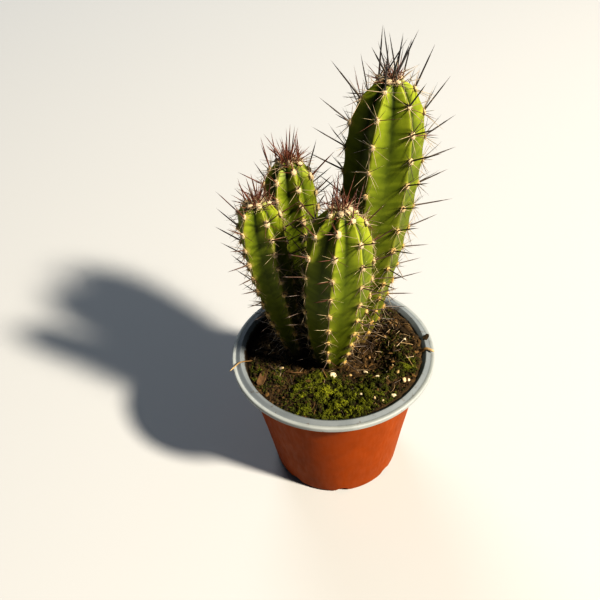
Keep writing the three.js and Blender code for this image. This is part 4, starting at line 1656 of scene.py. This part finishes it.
def litter_spots(random, count):
    """Places for litter: a third of it anywhere, and a third in each heap."""
    anywhere = spots(random, count // 3, 3)
    found = [np.stack(anywhere)]
    for at_x, at_y, reach in LITTER_HEAPS:
        near = random.normal([[at_x], [at_y]], reach, (2, count * 3))
        found.append(near[:, free_spot(*near, 2.5)][:, : count // 3])
    return np.concatenate(found, axis=1)


def on_mix(x, y):
    """Points on the mix, kept off the wall."""
    far = np.maximum(np.hypot(x, y) / (brim(soil_height(x, y)) - 0.8), 1)
    x, y = x / far, y / far
    return np.stack([x, y, soil_height(x, y) + crumbly(x, y)], axis=-1)


def make_fibres():
    """Short curved strands that lie on the mix, or arch a little over it."""
    random = np.random.default_rng(31)
    x, y = litter_spots(random, FIBRES)
    count = len(x)
    heading = random.uniform(0, 2 * math.pi, count)[:, None]
    length = scattered(random, *FIBRE_LENGTH, count)[:, None]
    steps = np.linspace(0, 1, FIBRE_STEPS)[None]
    turn = heading + (steps - 0.5) * random.normal(0, FIBRE_TURN, count)[:, None]
    pace = length / (FIBRE_STEPS - 1)
    east = x[:, None] + np.cumsum(np.cos(turn) * pace, axis=1)
    north = y[:, None] + np.cumsum(np.sin(turn) * pace, axis=1)
    paths = on_mix(east, north)
    arch = np.sin(steps * math.pi) * random.uniform(0, FIBRE_ARCH, count)[:, None]
    paths[:, :, 2] += FIBRE_LIFT + arch
    radii = scattered(random, *FIBRE_RADIUS, count)[:, None] * (1 - 0.5 * steps)
    points, faces, owner, _ = strands(paths, radii, 4)
    # Fibres left of the middle are paler than the rest: painted light, so that they show in the stems'
    # shadow
    tone = np.where(x < 0, 0.2 + 0.55 * random.random(count), random.random(count) ** 1.3)
    make_piece("mix_fibres", points, faces, [dry_fibre], "soil", {"tone": tone[owner]})


def make_dropped_spines():
    """Spines that have fallen on the mix, where they have room inside the wall."""
    random = np.random.default_rng(41)
    x, y = litter_spots(random, DROPPED_SPINES)
    count = len(x)
    roots = on_mix(x, y) + [0, 0, 0.6]
    bearing = random.uniform(0, 2 * math.pi, count)
    rise = random.uniform(0.0, DROPPED_RISE, count)
    flat = np.stack([np.cos(bearing), np.sin(bearing)], axis=-1) * np.cos(rise)[:, None]
    ways = np.concatenate([flat, np.sin(rise)[:, None]], axis=-1)
    lengths = scattered(random, *DROPPED_LENGTH, count)
    inside = np.hypot(*(roots + ways * lengths[:, None])[:, :2].T) < SOIL_RADIUS - 1
    roots, ways, lengths = roots[inside], ways[inside], lengths[inside]
    radii = np.full(len(roots), DROPPED_RADIUS)
    bends = random.uniform(-0.08, 0.08, len(roots))
    points, faces, owner, places = needles(roots, ways, lengths, radii, bends)
    tone = random.choice(DROPPED_TONES, len(roots))
    marks = {"tone": tone[owner], "along": places}
    make_piece("mix_dropped_spines", points, faces, [spine_horn], "soil", marks)


make_fibres()
make_dropped_spines()

# %% Twigs, straws and roots
LIP_TOP = POT_HEIGHT - 0.3
TWIG_STEPS = 14
TWIG_SIDES = 9


def twig(name, route, radius, tones, knots, seed):
    """A rough stick along a route of a few points, with a tone at each end."""
    route = np.array(route, float)
    steps = np.linspace(0, 1, TWIG_STEPS)
    places = np.linspace(0, 1, len(route))
    path = np.stack([np.interp(steps, places, route[:, i]) for i in range(3)], axis=-1)
    smooth = path.copy()
    smooth[1:-1] = (path[:-2] + path[1:-1] * 2 + path[2:]) / 4
    rough = 1 + (lumps(smooth, radius * 2.5, seed) - 0.5) * knots * 2
    ends = np.minimum(1, 0.55 + 4 * np.minimum(steps, 1 - steps))
    points, faces, _, step = strands(smooth[None], (radius * rough * ends)[None], TWIG_SIDES)
    tone = tones[0] + (tones[1] - tones[0]) * steps[step]
    make_piece(name, points, faces, [dry_fibre], "soil", {"tone": tone})


def laid(x, y, lift):
    """A point just above the mix."""
    return [*on_mix(np.array(x, float), np.array(y, float))[:2], float(soil_height(x, y)) + lift]


# Each stick: its route, its radius, the tone at each of its ends, and how knotty it is
STICKS = {
    "twig_right": (
        [(48.6, -4.3, 83.6), (51.6, -5.6, 86.6), (54.4, -6.9, LIP_TOP + 1.6), (58.9, -9.4, LIP_TOP + 0.9)],
        0.95, (0.35, 1.0), 0.25,
    ),
    "twig_left": (
        [
            (-47.6, -1.2, 84.4), (-52.4, -4.6, 87.7), (-55.2, -6.9, LIP_TOP + 1),
            (-61.2, -13.6, LIP_TOP + 0.5),
        ],
        0.42, (0.5, 0.95), 0.25,
    ),
    "straw_front": (
        [laid(41.6, -9, 1.4), laid(43.6, -14.7, 1.9), laid(45.4, -20, 1.3)],
        0.28, (0.9, 0.8), 0.1,
    ),
    "straw_back": (
        [laid(39.7, 1.6, 1.3), laid(43.6, 0.2, 1.9), laid(47.8, -1.4, 1.4)],
        0.3, (0.95, 0.85), 0.1,
    ),
    "root_front": (
        [laid(-7.4, -9.8, 1.5), laid(-6.4, -13, 2.0), laid(-4.6, -17.4, 0.9)],
        0.4, (0.5, 0.65), 0.3,
    ),
    "root_left": (
        [laid(-30, -9, 1.1), laid(-25, -11.5, 2.0), laid(-19, -11, 1.0)],
        0.45, (0.25, 0.5), 0.35,
    ),
}
for number, (name, facts) in enumerate(STICKS.items(), 1):
    twig(name, *facts, number)

# %% Bark
BARK_PIECES = 90
BARK_SIZE = (0.9, 2.3)
BARK_LIFT = 0.3
BARK_SHAPE = (1.5, 0.6, 0.35)
CHIP_WAY = (0.76, 0.6, 0.22)
CHIP_SHAPE = (2.6, 1.5, 0.8)
CHIP_PLACE = (55.9, 2.9, LIP_TOP + 0.9)
CHIP_TONE = 0.35


def make_bark():
    """Flat splinters of bark on the mix, and the dark chip that lies across the lip."""
    random = np.random.default_rng(61)
    x, y = litter_spots(random, BARK_PIECES)
    sizes = scattered(random, *BARK_SIZE, len(x))
    frames = tumbled(random, sizes, x, y, BARK_LIFT)
    lying = math.pi * 2 * random.random(len(x))
    long_way = unit(np.stack([np.cos(lying), np.sin(lying), random.normal(0, 0.2, len(x))], axis=-1))
    for axis, way in enumerate((long_way, *crosswise(long_way))):
        frames[:, :, axis] = way * sizes[:, None] * BARK_SHAPE[axis]
    chip_way = unit(np.array([CHIP_WAY]))
    axes = [way[0] * size for way, size in zip((chip_way, *crosswise(chip_way)), CHIP_SHAPE)]
    frames = np.concatenate([frames, np.stack([*axes, CHIP_PLACE], axis=-1)[None]])
    ball = ball_shape(2)
    points, faces = copies(ball, frames)
    centres = np.repeat(frames[:, :, 3], len(ball[0]), axis=0)
    points = roughened(points, centres, 0.8, 0.8, 9)
    tone = np.append(random.random(len(x)) * 0.75, CHIP_TONE)
    marks = {"tone": np.repeat(tone, len(ball[0]))}
    make_piece("bark_splinters", points, faces, [peat_mix], "soil", marks, smooth=False)


make_bark()

# %% A scrap of leaf
SCRAP_AT = (-43, -14)
SCRAP_LIFT = 1.0
SCRAP_GRID = (11, 8)
SCRAP_THICKNESS = 0.3


def make_leaf_scrap():
    """A curled scrap of brown leaf, as a thin closed sheet."""
    rows, columns = SCRAP_GRID
    u, v = np.meshgrid(np.linspace(-1, 1, rows), np.linspace(-1, 1, columns), indexing="ij")
    x = SCRAP_AT[0] + u * 1.6 + v * 2.3 * np.sqrt(1 - 0.75 * u**2)
    y = SCRAP_AT[1] + u * 4.4 - v * 0.9
    curl = 0.9 * v**2 + 0.5 * u**2 + 0.25 * np.sin(u * 7 + v * 3)
    top = np.stack([x, y, soil_height(x, y) + SCRAP_LIFT + curl], axis=-1)
    points, faces = closed_sheet(top, top - [0, 0, SCRAP_THICKNESS])
    tone = 0.3 + 0.3 * lumps(points, 2, 8)
    make_piece("leaf_scrap", points, faces, [dry_fibre], "soil", {"tone": tone})


make_leaf_scrap()
